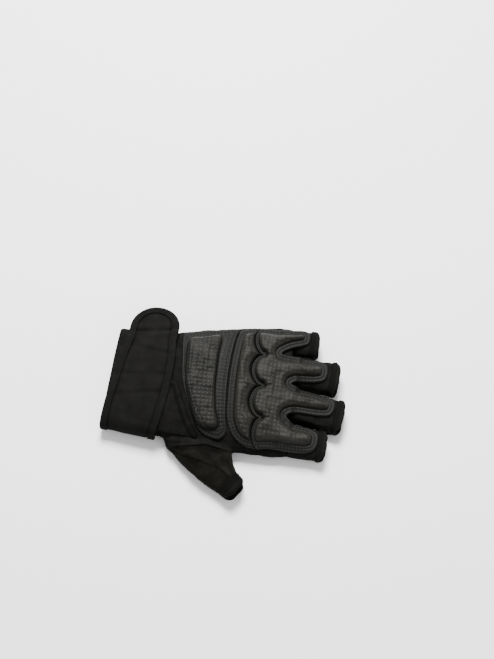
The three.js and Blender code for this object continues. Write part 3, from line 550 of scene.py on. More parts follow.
def loop_cloth(name, tone):
    """Brushed loop cloth of the strap: a dense, even fuzz over a faint weave."""
    material, tree, shader = finish(name, grey(tone), 1.0, 0.02, sheen=0.01)
    place = millimetres(tree, cut=True)
    where = node(tree, "ShaderNodeSeparateXYZ", {0: place})
    weft, warp = ripple(tree, where.outputs[0], WEFT), ripple(tree, where.outputs[1], WARP)
    weave = maths(tree, "MULTIPLY", weft, warp)
    raise_by(tree, shader, blend(tree, weave, 0.3, lumps(tree, place, 0.45, 5.0)), 0.25)
    tint(tree, shader, lumps(tree, place, 13.0, 6.0), grey(tone * 0.5), grey(tone * 1.5))
    return material


def tape(name, tone):
    """Binding tape: fine ribs across its length."""
    material, tree, shader = finish(name, grey(tone), 0.9, 0.03)
    place = millimetres(tree, cut=True)
    ribs = ripple(tree, node(tree, "ShaderNodeSeparateXYZ", {0: place}).outputs[0], TAPE_RIB)
    raise_by(tree, shader, blend(tree, ribs, 0.2, lumps(tree, place, 0.5)), 0.14)
    tint(tree, shader, lumps(tree, place, 10.0, 5.0), grey(tone * 0.55), grey(tone * 1.45))
    return material


def twisted_thread(name, tone):
    """Sewing thread: two strands twisted, with a slight shine."""
    material, tree, shader = finish(name, grey(tone), 0.7, 0.08)
    place = node(tree, "ShaderNodeSeparateXYZ", {0: millimetres(tree)})
    slant = maths(tree, "ADD", maths(tree, "ADD", place.outputs[0], place.outputs[1]), place.outputs[2])
    raise_by(tree, shader, ripple(tree, slant, TWIST), 0.06)
    tint(tree, shader, lumps(tree, millimetres(tree), 3.0), grey(tone * 0.8), grey(tone * 1.2))
    return material


# each finish with its tone, from 0, black, to 1, white
KNIT = knit_cloth("knit", 0.0062)
SUEDE = suede_leather("suede", 0.0048)
MESH = air_mesh("mesh", 0.0066)
LEATHER = grained_leather("leather", 0.0162)
LOOP = loop_cloth("loop", 0.0060)
TAPE = tape("tape", 0.0050)
HEM_TAPE = tape("hem_tape", 0.0056)
THUMB_TAPE = tape("thumb_tape", 0.004)
THREAD = twisted_thread("thread", 0.017)
DARK_THREAD = twisted_thread("dark_thread", 0.0055)
print("finishes:", [m.name for m in bpy.data.materials])

# %% [markdown]
# ## The room
# The glove lies on a pale floor in even light, as goods do for a catalogue picture, so its shadow stays
# soft. A broad lamp stands high on the little finger's side, towards the wrist. It gives the foam
# panels a light crown and a darker shoulder towards the thumb and the fingers.

# %% Floor and lights


def soft_light(name, place, size, power):
    lamp = bpy.data.objects.new(name, bpy.data.lights.new(name, "AREA"))
    lamp.data.size, lamp.data.energy = size, power
    lamp.location = place
    lamp.rotation_euler = (-Vector(place)).to_track_quat("-Z", "Y").to_euler()
    bpy.context.scene.collection.objects.link(lamp)


FLOOR_HALF = 4.0  # metres
corners = [(x * FLOOR_HALF, y * FLOOR_HALF, 0) for x, y in ((-1, -1), (1, -1), (1, 1), (-1, 1))]
floor_mesh = bpy.data.meshes.new("floor")
floor_mesh.from_pydata(corners, [], [(0, 1, 2, 3)])
floor_mesh.materials.append(finish("paper", (0.9, 0.9, 0.9), rough=0.9, specular=0.2)[0])
floor = bpy.data.objects.new("floor", floor_mesh)
bpy.context.scene.collection.objects.link(floor)
world = bpy.data.worlds.new("studio")
world.use_nodes = True
sky = world.node_tree.nodes["Background"]
sky.inputs["Color"].default_value = (1, 1, 1, 1)
sky.inputs["Strength"].default_value = 0.9
bpy.context.scene.world = world
soft_light("key", place=(-0.15, 0.75, 1.2), size=0.5, power=68.0)
soft_light("fill", place=(0.9, -0.7, 1.1), size=1.0, power=4.0)

# %% [markdown]
# ## The fabric shell
# The real shell is cut flat and sewn round a hand. Modelling each flat panel and sewing it would be
# long, and the result would hardly differ, because the glove keeps the shape of a hand. So the whole
# outer form is lofted first: the hand, four stalls and the thumb as closed skins that run past their
# openings. A voxel remesh welds them into one even net, and smoothing rounds the webs as stretched knit
# does.

# %% Loft and weld the form
RING = turns(72)
HAND_START, HAND_SHORT, STALL_ROOT, PAST_END = -0.04, 1.6, -12, 6  # where the skins begin and end
FORM_CELL, FORM_SMOOTHING = 1.2, 10


def hand_rings():
    rings = []
    for along in np.linspace(HAND_START, 1 - HAND_SHORT / HAND_LENGTH, 70):
        section = single(hand_section(along))
        across, height = section_curve(section, RING)
        skew = WEB_SKEW * np.clip((along - SKEW_FROM) / (1 - SKEW_FROM), 0, 1)
        x = hand_x(along) - skew * across / (2 * section["half"])
        rings.append(np.column_stack([x, section["centre"] + across, height]))
    return rings


def finger_rings(finger):
    rings = []
    for forward in np.linspace(STALL_ROOT, finger.length + PAST_END, 26):
        across, height = section_curve(single(finger.section(forward)), RING)
        rings.append(np.column_stack([finger.on(forward, across), height]))
    return rings


def thumb_rings():
    rings = []
    for place in np.linspace(0, THUMB_LAST + PAST_END / THUMB_STEP, 50):
        row = [float(value[0]) for value in thumb_row(place)]
        across, height = section_curve(single(thumb_section(row)), RING)
        rings.append(np.column_stack([on_thumb(row, across), height]))
    return rings


def welded_form(cell, smoothing):
    """The skins welded into one net of a cell size in millimetres, and smoothed."""
    form = bpy.data.objects.new("form", form_mesh)
    bpy.context.scene.collection.objects.link(form)
    weld = form.modifiers.new("weld", "REMESH")
    weld.mode, weld.voxel_size = "VOXEL", cell
    soften = form.modifiers.new("soften", "SMOOTH")
    soften.factor, soften.iterations = 0.5, smoothing
    made = bpy.data.meshes.new_from_object(form.evaluated_get(bpy.context.evaluated_depsgraph_get()))
    bpy.data.objects.remove(form)
    return made


def read_vectors(mesh, key):
    """The places ("co") or the directions ("normal") of a mesh's points."""
    flat = np.zeros(len(mesh.vertices) * 3)
    mesh.vertices.foreach_get(key, flat)
    return flat.reshape(-1, 3)


skins = [loft(hand_rings()), loft(thumb_rings())] + [loft(finger_rings(finger)) for finger in fingers]
form_points, form_faces = joined(skins)
form_mesh = bpy.data.meshes.new("form")
form_mesh.from_pydata(form_points.tolist(), [], form_faces)
face_outward(form_mesh)
welded = welded_form(FORM_CELL, FORM_SMOOTHING)
print("welded form: %d points" % len(welded.vertices))

# %% [markdown]
# ## Let the cloth settle
# Wrinkles are hard to draw and easy to simulate. A coarse copy of the form, with cells of four
# millimetres, is made of cloth cut a little too large. Blender's cloth solver, without gravity and with
# a little pressure inside, lets it buckle for twenty frames. Points under the pads, in the hems and on
# the floor are held. Only the movement in and out of the surface is kept, within a millimetre, and on
# the back of the hand only the movement inward, so that no cloth rises through the pads. The fine net
# takes it over.

# %% Cloth solver
SETTLE_FRAMES, CLOTH_CELL, CLOTH_SMOOTHING, WRINKLE_LIMIT = 20, 4.0, 2, 1.0
HELD_BELOW, HELD_ABOVE = 4, 21  # heights: near the floor, and under the pads


def settled(points, faces, held, pressure, growth):
    """Where the points of a cloth come to rest, in millimetres. held is true where it is sewn down."""
    mesh = bpy.data.meshes.new("settling")
    mesh.from_pydata((points * MM).tolist(), [], faces)
    piece = bpy.data.objects.new("settling", mesh)
    bpy.context.scene.collection.objects.link(piece)
    piece.vertex_groups.new(name="held").add(np.flatnonzero(held).tolist(), 1.0, "REPLACE")
    cloth = piece.modifiers.new("cloth", "CLOTH")
    cloth.point_cache.frame_start, cloth.point_cache.frame_end = 1, SETTLE_FRAMES
    cloth.collision_settings.use_collision = False
    cloth.settings.vertex_group_mass = "held"
    cloth.settings.quality, cloth.settings.mass = 6, 0.1
    cloth.settings.bending_stiffness = 0.2
    cloth.settings.shrink_min = -growth
    cloth.settings.use_pressure = True
    cloth.settings.uniform_pressure_force = pressure
    cloth.settings.effector_weights.gravity = 0.0
    for step in range(1, SETTLE_FRAMES + 1):
        bpy.context.scene.frame_set(step)
    moved = piece.evaluated_get(bpy.context.evaluated_depsgraph_get()).to_mesh()
    rest = read_vectors(moved, "co") / MM
    bpy.data.objects.remove(piece)
    bpy.context.scene.frame_set(1)
    return rest


def in_space(place):
    """A place on the plan or in space as a vector of three."""
    return Vector(tuple(place) + (0,) * (3 - len(place)))


def search_tree(places):
    tree = KDTree(len(places))
    for i, place in enumerate(places):
        tree.insert(in_space(place), i)
    tree.balance()
    return tree


def spread(places, values, reach):
    """A function that gives a value anywhere, blended from the nearest seven places."""
    tree = search_tree(places)

    def value_at(points):
        found = []
        for point in points:
            near = tree.find_n(in_space(point), 7)
            weights = np.array([math.exp(-(away / reach) ** 2) + 1e-6 for _, _, away in near])
            found.append(weights @ values[[i for _, i, _ in near]] / weights.sum())
        return np.array(found)

    return value_at


def still(points):
    return np.zeros(len(points))


def wrinkles():
    """How far the settled form moved along its surface's direction, as a function of place."""
    coarse = welded_form(CLOTH_CELL, CLOTH_SMOOTHING)
    start, outward = read_vectors(coarse, "co"), read_vectors(coarse, "normal")
    x, y, z = start.T
    held = (z < HELD_BELOW) | ((z > HELD_ABOVE) & (x > CUFF_EDGE + 8)) | (x < CUFF_EDGE - 6)
    for finger in fingers:
        forward, left = finger.local(start[:, :2])
        in_hem = forward > finger.length - HEM_WIDTH - 2
        held |= in_hem & (np.abs(left) < finger.tip_width * FINGER_WIDTH / 2 + 2)
    held |= ((start[:, :2] - thumb_end) @ thumb_forward > -THUMB_HEM - 2) & (y < THUMB_SEAM_Y - 4)
    rest = settled(start, [tuple(p.vertices) for p in coarse.polygons], held, pressure=1.0, growth=0.08)
    moved = ((rest - start) * outward).sum(1) * ease(np.abs(outward[:, 2]), 0.1, 0.6)
    moved = np.clip(moved, -WRINKLE_LIMIT, np.where(y > THUMB_SEAM_Y, 0.0, WRINKLE_LIMIT))
    print("cloth: %d points, %d held, moved %.2f to %.2f mm"
          % (len(start), held.sum(), moved.min(), moved.max()))
    return spread(start, moved, 0.7 * CLOTH_CELL)


wrinkle_at = wrinkles()

# %% [markdown]
# ## Folds
# Cloth is never smooth: it creases where it bends and sags between seams. A fold is drawn as a line on
# the plan with a depth and a width. Points near it move along their normals, up for a ridge and down
# for a crease. Slow noise adds the small unevenness that a drawn line lacks.

# %% Fold and uneven the form


def fold(points, line, depth, width):
    """How far points move for one fold: a smooth ridge or crease that fades at both ends."""
    line = resampled(line, 2.0, False)
    away = distance_to(line, points[:, :2])
    from_start, from_end = (np.linalg.norm(points[:, :2] - end, axis=1) for end in (line[0], line[-1]))
    ends = np.minimum(from_start, from_end)
    fade = ease(ends, 0, 0.35 * len(line) * 2.0) * 0.8 + 0.2
    return depth * np.exp(-(away / width) ** 2) * fade


FLOOR_GAP = 0.05  # no cloth lies lower
# line on the plan, depth, width; the last number is 1 for the upper side and -1 for the palm
FOLDS = [
    ([(-42, -49.5), (-22, -46.5), (-10, -43.5), (0, -44.5), (16, -46)], -1.2, 1.8, 1),
    ([(12, -44), (13, -52), (17, -60), (23, -67)], -1.1, 1.2, 1),
    ([(-30, -50), (-18, -58), (-8, -66)], -1.0, 2.0, 1),
    ([(-24, -46), (-10, -56), (0, -68)], 0.8, 2.2, 1),
    ([(-12, -46), (-2, -54), (8, -60)], -0.9, 1.8, 1),
    ([(-38, -46), (-30, -54), (-22, -62)], 0.7, 2.4, 1),
    ([(5, -45), (10, -52), (16, -56)], 0.8, 2.0, 1),
    ([(62, -4), (74, -6), (88, -8)], -0.9, 1.4, 1),
    ([(64, 0), (78, -3), (94, -6)], 0.7, 1.6, 1),
    ([(20, -39), (40, -38), (60, -35)], -0.6, 2.0, 1),
    ([(-20, -20), (10, 0), (30, 30)], -0.7, 3.0, -1),
    ([(-30, 10), (0, 20), (30, 50)], 0.6, 4.0, -1),
    ([(40, -30), (45, 0), (44, 40), (38, 75)], -0.9, 2.5, -1),
    ([(-10, -60), (-10, -30), (0, 0)], -0.8, 3.0, -1),
]


def crease_shade(points):
    """Painted shade: low in the creases, where less light falls."""
    shade = np.ones(len(points))
    for line, depth, width, side in FOLDS:
        upper = points[:, 2] > SEAM_Z if side > 0 else points[:, 2] <= SEAM_Z
        if depth < 0:
            shade = np.minimum(shade, 1 + 0.4 * fold(points, np.array(line, float), depth, width) * upper)
    return np.maximum(shade, 0.1)


form_at, normal = read_vectors(welded, "co"), read_vectors(welded, "normal")
move = 0.35 * smooth_noise(form_at, 9.0, 3.1) + 0.2 * smooth_noise(form_at, 3.5, 7.7) + wrinkle_at(form_at)
for line, depth, width, side in FOLDS:
    upper = form_at[:, 2] > SEAM_Z - 3 if side > 0 else form_at[:, 2] < SEAM_Z - 1
    move += fold(form_at, np.array(line, float), depth, width) * upper
on_floor = ease(form_at[:, 2], 0.2, 2.5)
form_at = form_at + normal * (move * on_floor)[:, None]
form_at[:, 2] = np.maximum(form_at[:, 2], FLOOR_GAP)
welded.vertices.foreach_set("co", form_at.ravel())
surface = BVHTree.FromPolygons(form_at.tolist(), [tuple(p.vertices) for p in welded.polygons])
print("folds: %d, largest move %.2f mm" % (len(FOLDS), np.abs(move).max()))

# %% [markdown]
# ## Cut the form into its panels
# The real panels meet at seams. Picking faces by hand would leave saw-toothed edges, and boolean cuts
# are slow. Here each seam is a field: a number that is negative on one side, positive on the other and
# zero on the seam. Every edge that a field crosses is split just there, so a panel's edge runs clean
# through the net.

# %% Seam fields and the cut
FAR = 5.0  # a field's value where its seam doesn't reach
STALLS_FROM = 55.0  # x behind which no stall lies


def webs(p):
    low, high = on_hand(1.0, 0.0)[0], on_hand(1.0, 1.0)[0]
    low, high = low + [WEB_SKEW / 2, 0], high - [WEB_SKEW / 2, 0]
    return p[:, 0] - low[0] - (high[0] - low[0]) / (high[1] - low[1]) * (p[:, 1] - low[1])


def finger_of(p):
    """The number of the nearest finger and the distance along it."""
    local = [f.local(p[:, :2]) for f in fingers]
    nearest = np.argmin([np.abs(left) / f.tip_width for f, (_, left) in zip(fingers, local)], axis=0)
    forward = np.choose(nearest, [forward for forward, _ in local])
    return nearest, forward


def past_finger(p, before):
    nearest, forward = finger_of(p)
    ends = np.array([f.length for f in fingers])[nearest]
    return np.where(p[:, 0] > STALLS_FROM, forward - ends + before, -FAR)


def past_thumb(p, before):
    beyond = (p[:, :2] - thumb_end) @ thumb_forward + before
    return np.where(p[:, 1] < THUMB_SEAM_Y - 4, beyond, -FAR)


thumb_places = np.linspace(0, 7, 60)
thumb_rows = thumb_row(thumb_places)
mesh_seam = on_thumb(thumb_rows, (thumb_rows[5] - 0.5) * thumb_rows[3] * THUMB_WIDTH)
mesh_outline = np.vstack([mesh_seam, on_thumb(thumb_rows, thumb_rows[3] * THUMB_WIDTH)[::-1]])


def mesh_side(p):
    away = distance_to(mesh_seam, p[:, :2])
    return np.where(inside(mesh_outline, p[:, :2]), away, -away)


SEAMS = {
    "height": lambda p: p[:, 2] - SEAM_Z,
    "cuff": lambda p: p[:, 0] - CUFF_EDGE,
    "mouth": lambda p: p[:, 0] - WRIST_X - 0.2,
    "thumb": lambda p: np.where(p[:, 0] > CUFF_EDGE - 2, p[:, 1] - THUMB_SEAM_Y, FAR),
    "webs": webs,
    "finger hems": lambda p: past_finger(p, HEM_WIDTH - 0.6),
    "thumb hem": lambda p: past_thumb(p, THUMB_HEM - 0.6),
    "mesh": lambda p: np.where(p[:, 1] < THUMB_SEAM_Y + 2, mesh_side(p), -FAR),
}


def cut_along(net, field):
    """Splits every face that a field crosses."""
    places = np.array([v.co for v in net.verts])
    value = dict(zip(net.verts, field(places)))
    for v in value:
        if abs(value[v]) < 0.05:
            value[v] = 0.0
    for edge in list(net.edges):
        a, b = edge.verts
        if value[a] * value[b] < 0:
            _, fresh = bmesh.utils.edge_split(edge, a, value[a] / (value[a] - value[b]))
            value[fresh] = 0.0
    for face in list(net.faces):
        on = [v for v in face.verts if value[v] == 0.0]
        if len(on) == 2 and not any(on[0] in e.verts and on[1] in e.verts for e in face.edges):
            bmesh.utils.face_split(face, on[0], on[1])


net = bmesh.new()
net.from_mesh(welded)
for seam in SEAMS.values():
    cut_along(net, seam)
net.faces.ensure_lookup_table()
middles = np.array([f.calc_center_median() for f in net.faces])
side = {name: field(middles) for name, field in SEAMS.items()}
is_gone = (side["mouth"] < 0) | (side["finger hems"] > 0) | (side["thumb hem"] > 0)
is_thumb = (side["thumb"] < 0) & (side["cuff"] > 0)
is_mesh = is_thumb & (side["mesh"] > 0) & (side["height"] > 0)
is_cuff = side["cuff"] < 0
is_above = side["height"] > 0
is_stall = is_above & (side["webs"] > 0)
panel = np.select([is_gone, is_cuff, is_mesh, is_thumb, ~is_above, is_stall], [0, 1, 2, 3, 4, 6], 5)
panel[panel == 6] += finger_of(middles[panel == 6])[0]
print("panels:", np.bincount(panel))

# %% [markdown]
# ## Turn the panels into cloth
# Each panel is lifted out of the net with its own edges. Near an edge the cloth dips a little, because
# the seam pulls it in, and a Solidify modifier then gives it its thickness on the inside. The hem bands
# will cover the raw ends of the stalls. Each panel's area is printed beside the flat area it is cut to.

# %% Panels of the shell
WALL = 1.4  # thickness of the cloth
# SEAM_DARK and DARK_REACH: how much painted shade darkens the cloth beside a seam, and how far it reaches
SEAM_DIP, DIP_REACH, SEAM_DARK, DARK_REACH = 0.45, 1.1, 0.65, 1.3
# number, name, node, material, slot, flat width and length in metres, flat area in square metres, sewn to
PANELS = [
    (1, "cuff_knit", "cuff", KNIT, "knit", (0.212, 0.053), 0.0109, "hand_back"),
    (2, "thumb_mesh_panel", "thumb_mesh", MESH, "mesh", (0.021, 0.056), 0.00098, "thumb_suede"),
    (3, "thumb_suede_panel", "thumb_suede", SUEDE, "suede", (0.052, 0.066), 0.0029, "palm"),
    (4, "palm_suede", "palm", SUEDE, "suede", (0.145, 0.155), 0.0177, "hand_back"),
    (5, "hand_back_knit", "hand_back", KNIT, "knit", (0.138, 0.116), 0.0140, "palm"),
    (6, "index_stall_knit", "index_stall", KNIT, "knit", (0.039, 0.030), 0.00105, "palm"),
    (7, "middle_stall_knit", "middle_stall", KNIT, "knit", (0.041, 0.043), 0.00163, "palm"),
    (8, "ring_stall_knit", "ring_stall", KNIT, "knit", (0.040, 0.036), 0.00134, "palm"),
    (9, "little_stall_knit", "little_stall", KNIT, "knit", (0.033, 0.020), 0.00054, "palm"),
]


def panel_piece(number, name, node_name, material):
    """One panel of the net as a piece of cloth with a thickness."""
    part = net.copy()
    part.faces.ensure_lookup_table()
    bmesh.ops.delete(part, geom=[f for f, n in zip(part.faces, panel) if n != number], context="FACES")
    bmesh.ops.triangulate(part, faces=[f for f in part.faces if len(f.verts) > 4])
    bmesh.ops.dissolve_degenerate(part, dist=0.02, edges=part.edges)
    part.normal_update()
    tree = search_tree([v.co for v in part.verts if v.is_boundary])
    creases = crease_shade(np.array([v.co for v in part.verts]))
    # painted shade: darker in the creases and beside each seam, where the cloth dips
    shade = part.verts.layers.float.new("shade")
    for v, in_crease in zip(part.verts, creases):
        away = tree.find(v.co)[2]
        v[shade] = in_crease * (1 - SEAM_DARK * math.exp(-(away / DARK_REACH) ** 2))
        v.co -= v.normal * SEAM_DIP * math.exp(-(away / DIP_REACH) ** 2)
        v.co.z = max(v.co.z, FLOOR_GAP)
    mesh = bpy.data.meshes.new(name)
    part.to_mesh(mesh)
    part.free()
    mesh.transform(Matrix.Translation(Vector(SHIFT)))
    mesh.transform(Matrix.Scale(MM, 4))
    mesh.polygons.foreach_set("use_smooth", [True] * len(mesh.polygons))
    mesh.materials.append(material)
    piece = bpy.data.objects.new(name, mesh)
    bpy.context.scene.collection.objects.link(piece)
    wall = piece.modifiers.new("wall", "SOLIDIFY")
    wall.thickness, wall.offset = WALL * MM, -1.0
    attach(piece, "root")
    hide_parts(node_name)
    return piece


shell = {}
for number, name, node_name, material, slot_name, flat, flat_area, neighbour in PANELS:
    shell[name] = panel_piece(number, name, node_name, material)
    area = sum(p.area for p in shell[name].data.polygons)
    print("%-18s %.5f m2, cut flat %.5f m2" % (name, area, flat_area))
net.free()

# %% [markdown]
# ## The rolled seam over the thumb
# Where the thumb is sewn on, the knit of the hand turns over the seam and lies on the mesh in a soft
# roll. A fold that narrow can't be pressed out of the net, so it is a piece of its own: an oval, swept
# along the seam on the surface of the form. A ray, cast down on the form, finds that surface.

# %% Rolled seam
ROLL_LINE = [(-49, -45.8), (-41.4, -45.6), (-30, -43.2), (-21.7, -41.8), (-9.8, -38.6),
             (0.3, -39.8), (9, -41.2), (14.9, -41.8), (18.5, -41.0)]
ROLL_HALF, ROLL_HEIGHT = 1.9, 1.5
THIN_ENDS = 0.12  # the roll's thickness follows a sine that starts and ends this near to nothing


def on_form(line):
    """Points and normals of the form's upper side over a line of the plan."""
    hits = [surface.ray_cast(Vector((x, y, 60)), Vector((0, 0, -1))) for x, y in line]
    hits = [hit for hit in hits if hit[0] is not None]
    return np.array([hit[0] for hit in hits]), np.array([hit[1] for hit in hits])


roll_at, roll_up = on_form(resampled(ROLL_LINE, 1.0, False))
for _ in range(6):
    roll_at[1:-1] = (roll_at[:-2] + 2 * roll_at[1:-1] + roll_at[2:]) / 4
    roll_up[1:-1] = (roll_up[:-2] + 2 * roll_up[1:-1] + roll_up[2:]) / 4
roll_up /= np.linalg.norm(roll_up, axis=1)[:, None]
roll_along = np.gradient(roll_at, axis=0)
roll_side = np.cross(roll_up, roll_along)
roll_side /= np.linalg.norm(roll_side, axis=1)[:, None]
angle = turns(20)
taper = np.sin(np.linspace(THIN_ENDS, math.pi - THIN_ENDS, len(roll_at))) ** 0.35
swell = ((1 + 0.18 * smooth_noise(roll_at, 7.0, 5.0)) * taper)[:, None, None]
across = roll_side[:, None] * np.cos(angle)[None, :, None] * ROLL_HALF
upward = roll_up[:, None] * (np.sin(angle)[None, :, None] * ROLL_HEIGHT)
points, faces = band(roll_at[:, None] + swell * (across + upward), False)
# painted shade: the roll is darker on its lower flanks and underside than on its top
shade = np.tile(0.35 + 0.65 * ease(np.sin(angle), 0.0, 0.8), len(roll_at))
new_piece("thumb_seam_roll", points, faces, KNIT, shade=shade)
print("rolled seam: %.0f mm" % run_along(roll_at)[-1])

# %% [markdown]
# ## Hems round the openings
# The end of each stall is turned in and sewn down with two rows of stitches, and the thumb ends in a
# wider band. A band is drawn once as a profile, in distance from the opening and height over the cloth,
# and is swept round the stall's section. The profile has a rolled edge at the opening and a furrow
# under each row of stitches.

# %% Hem bands and a stitching tool
# distance from the opening, height over the cloth
HEM_PROFILE = [
    (-7.9, -0.6), (-7.7, 0.2), (-7.2, 0.55), (-6.5, 0.65), (-5.9, 0.55), (-5.5, 0.3), (-5.1, 0.55),
    (-4.2, 0.75), (-3.5, 0.6), (-3.1, 0.35), (-2.7, 0.6), (-1.9, 0.85), (-1.1, 0.8), (-0.4, 0.35),
    (0.0, -0.4), (0.1, -1.2), (-0.2, -2.0), (-1.0, -2.5), (-2.5, -2.5), (-5.0, -2.2), (-7.6, -1.9),
    (-7.9, -1.4),
]
CORNER_PULL = 4.2  # how far the band's sides lie back from its middle, which rounds a stall's corners
AROUND, TAPE_LENGTH = 96, 90
THREAD_HEIGHT = 0.5
# places of the two rows of thread, from the opening
HEM_ROWS, THUMB_ROWS_OF_THREAD = (-5.5, -3.1), (-8.8, -5.0)
THUMB_STRETCH = THUMB_HEM / HEM_WIDTH
THUMB_PLACE = 14.0  # millimetres counted for one of the thumb's places behind its opening
# one stitch from end to end: share of its length, height over the cloth, share of its thickness
STITCH = np.array([(0.0, -0.30, 0.35), (0.12, -0.02, 0.85), (0.35, 0.12, 1.0),
                   (0.65, 0.12, 1.0), (0.88, -0.02, 0.85), (1.0, -0.30, 0.35)])


def corner_pull(angle, before):
    """How far a place on the band lies back, by its angle round the stall and its place on the profile."""
    return CORNER_PULL * np.abs(np.cos(angle)) ** 4 * ease(before, HEM_PROFILE[0][0], 0)


def flat_pattern(along, profile):
    """A swept tape laid flat: the distance along it, and across it over its profile."""
    across = np.cumsum([0] + [math.dist(a, b) for a, b in zip(profile[:-1], profile[1:])])
    return np.stack(np.meshgrid(along, across, indexing="ij"), -1).reshape(-1, 2)


def hem_band(place_at, section_at, stretch, seed):
    """A closed band: the profile swept round a section. stretch widens the profile along the finger."""
    angle = turns(AROUND)
    wave = 0.5 * np.sin(3 * angle + seed) + 0.3 * np.sin(7 * angle + 2 * seed)
    wave += 0.2 * np.sin(13 * angle + seed)
    columns = []
    for before, grow in HEM_PROFILE:
        forward = before * stretch
        puff = grow + 0.22 * wave * (1 if grow > -1 else 0.3)
        across, height = section_curve(section_at(forward), angle, puff)
        place = place_at(forward + 0.5 * wave - corner_pull(angle, before), across)
        columns.append(np.column_stack([place, height]))
    points, faces = band(np.array(columns).transpose(1, 0, 2)[::-1], True)
    # painted shade: the band is dark where its profile lies low, in the furrows and round the turned edge
    shade = np.array([0.25 + 0.75 * ease(grow, 0.2, 0.7) for _, grow in HEM_PROFILE])
    cut = flat_pattern(np.linspace(0, TAPE_LENGTH, AROUND), HEM_PROFILE)
    return points, faces, cut, np.tile(shade[::-1], AROUND)


def stitches(lines, length=2.3, gap=0.9, radius=0.27, closed=True):
    """Rows of thread: short capsules along lines of (points, normals), sunk at both ends of each stitch."""
    share, sink, thick = STITCH.T
    ring = turns(6)
    c, s = np.cos(ring)[:, None], np.sin(ring)[:, None]
    one = skin(len(share), len(ring)) + caps(len(share), len(ring))
    parts = []
    for line, normals in lines:
        both = np.hstack([line, normals])
        if closed:
            both = np.vstack([both, both[:1]])
        run = run_along(both[:, :3])
        count = int(run[-1] // (length + gap))
        pitch = run[-1] / count
        at = (np.arange(count)[:, None] + 0.5) * pitch + (share - 0.5) * length
        where = np.stack([np.interp(at, run, both[:, k]) for k in range(6)], -1)
        upward = where[..., 3:] / np.linalg.norm(where[..., 3:], axis=-1, keepdims=True)
        centre = where[..., :3] + upward * sink[:, None]
        along = centre[:, -1] - centre[:, 0]
        along = along / np.linalg.norm(along, axis=-1, keepdims=True)
        sideways = np.cross(along[:, None, :], upward)
        sideways /= np.linalg.norm(sideways, axis=-1, keepdims=True)
        rim = c * sideways[:, :, None] + s * upward[:, :, None]
        points = centre[:, :, None, :] + (thick * radius)[:, None, None] * rim
        parts += [(capsule.reshape(-1, 3), one) for capsule in points]
    return joined(parts)


def ring_line(place_at, section_at, forward, stretch):
    """A closed line round a stall's band and its outward directions."""
    angle = turns(120)
    lines = []
    for grow in (THREAD_HEIGHT, THREAD_HEIGHT + 1.0):
        across, height = section_curve(section_at(forward), angle, grow)
        place = place_at(forward - corner_pull(angle, forward / stretch), across)
        lines.append(np.column_stack([place, height]))
    outward = lines[1] - lines[0] + np.array([0, 0, 1e-6])
    return lines[0], outward


def thumb_place(forward, across):
    beyond = np.broadcast_to(np.asarray(forward, float), np.shape(across))
    sideways = np.array([-thumb_forward[1], thumb_forward[0]])
    return thumb_end + beyond[..., None] * thumb_forward + np.asarray(across)[..., None] * sideways


def thumb_section_at(forward):
    behind = min(float(np.mean(forward)), 0) / THUMB_PLACE
    row = [float(value[0]) for value in thumb_row(THUMB_LAST + behind)]
    return single(thumb_section(row))


hem_threads = []
for k, finger in enumerate(fingers):
    way = finger.past_end, finger.section_past_end
    points, faces, cut, shade = hem_band(*way, 1.0, 1.7 * k)
    new_piece(finger.name + "_hem_band", points, faces, HEM_TAPE, [finger.name + "_hem"], cut, shade)
    hem_threads += [ring_line(*way, forward, 1.0) for forward in HEM_ROWS]
points, faces, cut, shade = hem_band(thumb_place, thumb_section_at, THUMB_STRETCH, 0.6)
new_piece("thumb_hem_band", points, faces, THUMB_TAPE, ["thumb_hem"], cut, shade)
hem_threads += [ring_line(thumb_place, thumb_section_at, forward, THUMB_STRETCH)
                for forward in THUMB_ROWS_OF_THREAD]
points, faces = stitches(hem_threads, length=2.0, gap=0.8, radius=0.2)
new_piece("hem_stitches", points, faces, DARK_THREAD)
print("hem bands: 5, stitches: %d faces" % len(faces))

# %% [markdown]
# ## The height of the glove's back
# The padded panels lie on the back of the hand and the stalls. A function gives the height of that back
# over any point of the plan. It blends the domes of the hand and the fingers softly, as leather does
# when it is laid over two shapes, where a plain maximum would leave a crease.

# %% Height of the back
BLEND = 0.9  # more blends less


def back_height(xy):
    """The domes of the hand and of the stalls, each falling away past its own ends and sides."""
    along = np.clip((xy[:, 0] - WRIST_X) / HAND_LENGTH, 0, 1)
    section = hand_section(along)
    heights = [dome(section, xy[:, 1] - section["centre"]) - 0.2 * np.maximum(xy[:, 0] - 60, 0) ** 2]
    for finger in fingers:
        forward, left = finger.local(xy)
        side_drop = 1.2 * np.maximum(np.abs(left) - finger.section(forward)["half"] - 2.0, 0) ** 2
        root_drop = 0.3 * np.maximum(-4 - forward, 0) ** 2
        heights.append(dome(finger.section(forward), left) - root_drop - side_drop)
    heights = np.maximum(np.array(heights), WIDEST - 4)
    return np.maximum(np.logaddexp.reduce(heights * BLEND, axis=0) / BLEND, WIDEST)


print("back height over the knuckles: %.1f mm" % back_height(np.array([[40.0, 20.0]]))[0])

# %% [markdown]
# ## Outlines of the padded leather
# Three panels protect the hand: one behind the knuckles, a bar over them, and a guard with a lobe along
# each finger. Bar and guard meet at a scalloped seam, with a cusp towards each gap between two fingers.
# A smooth curve through a few points gives each outline.

# %% Pad outlines
SPLIT, BOW, BOW_AT, SPLIT_GAP = 0.648, 0.14, 0.66, 0.6


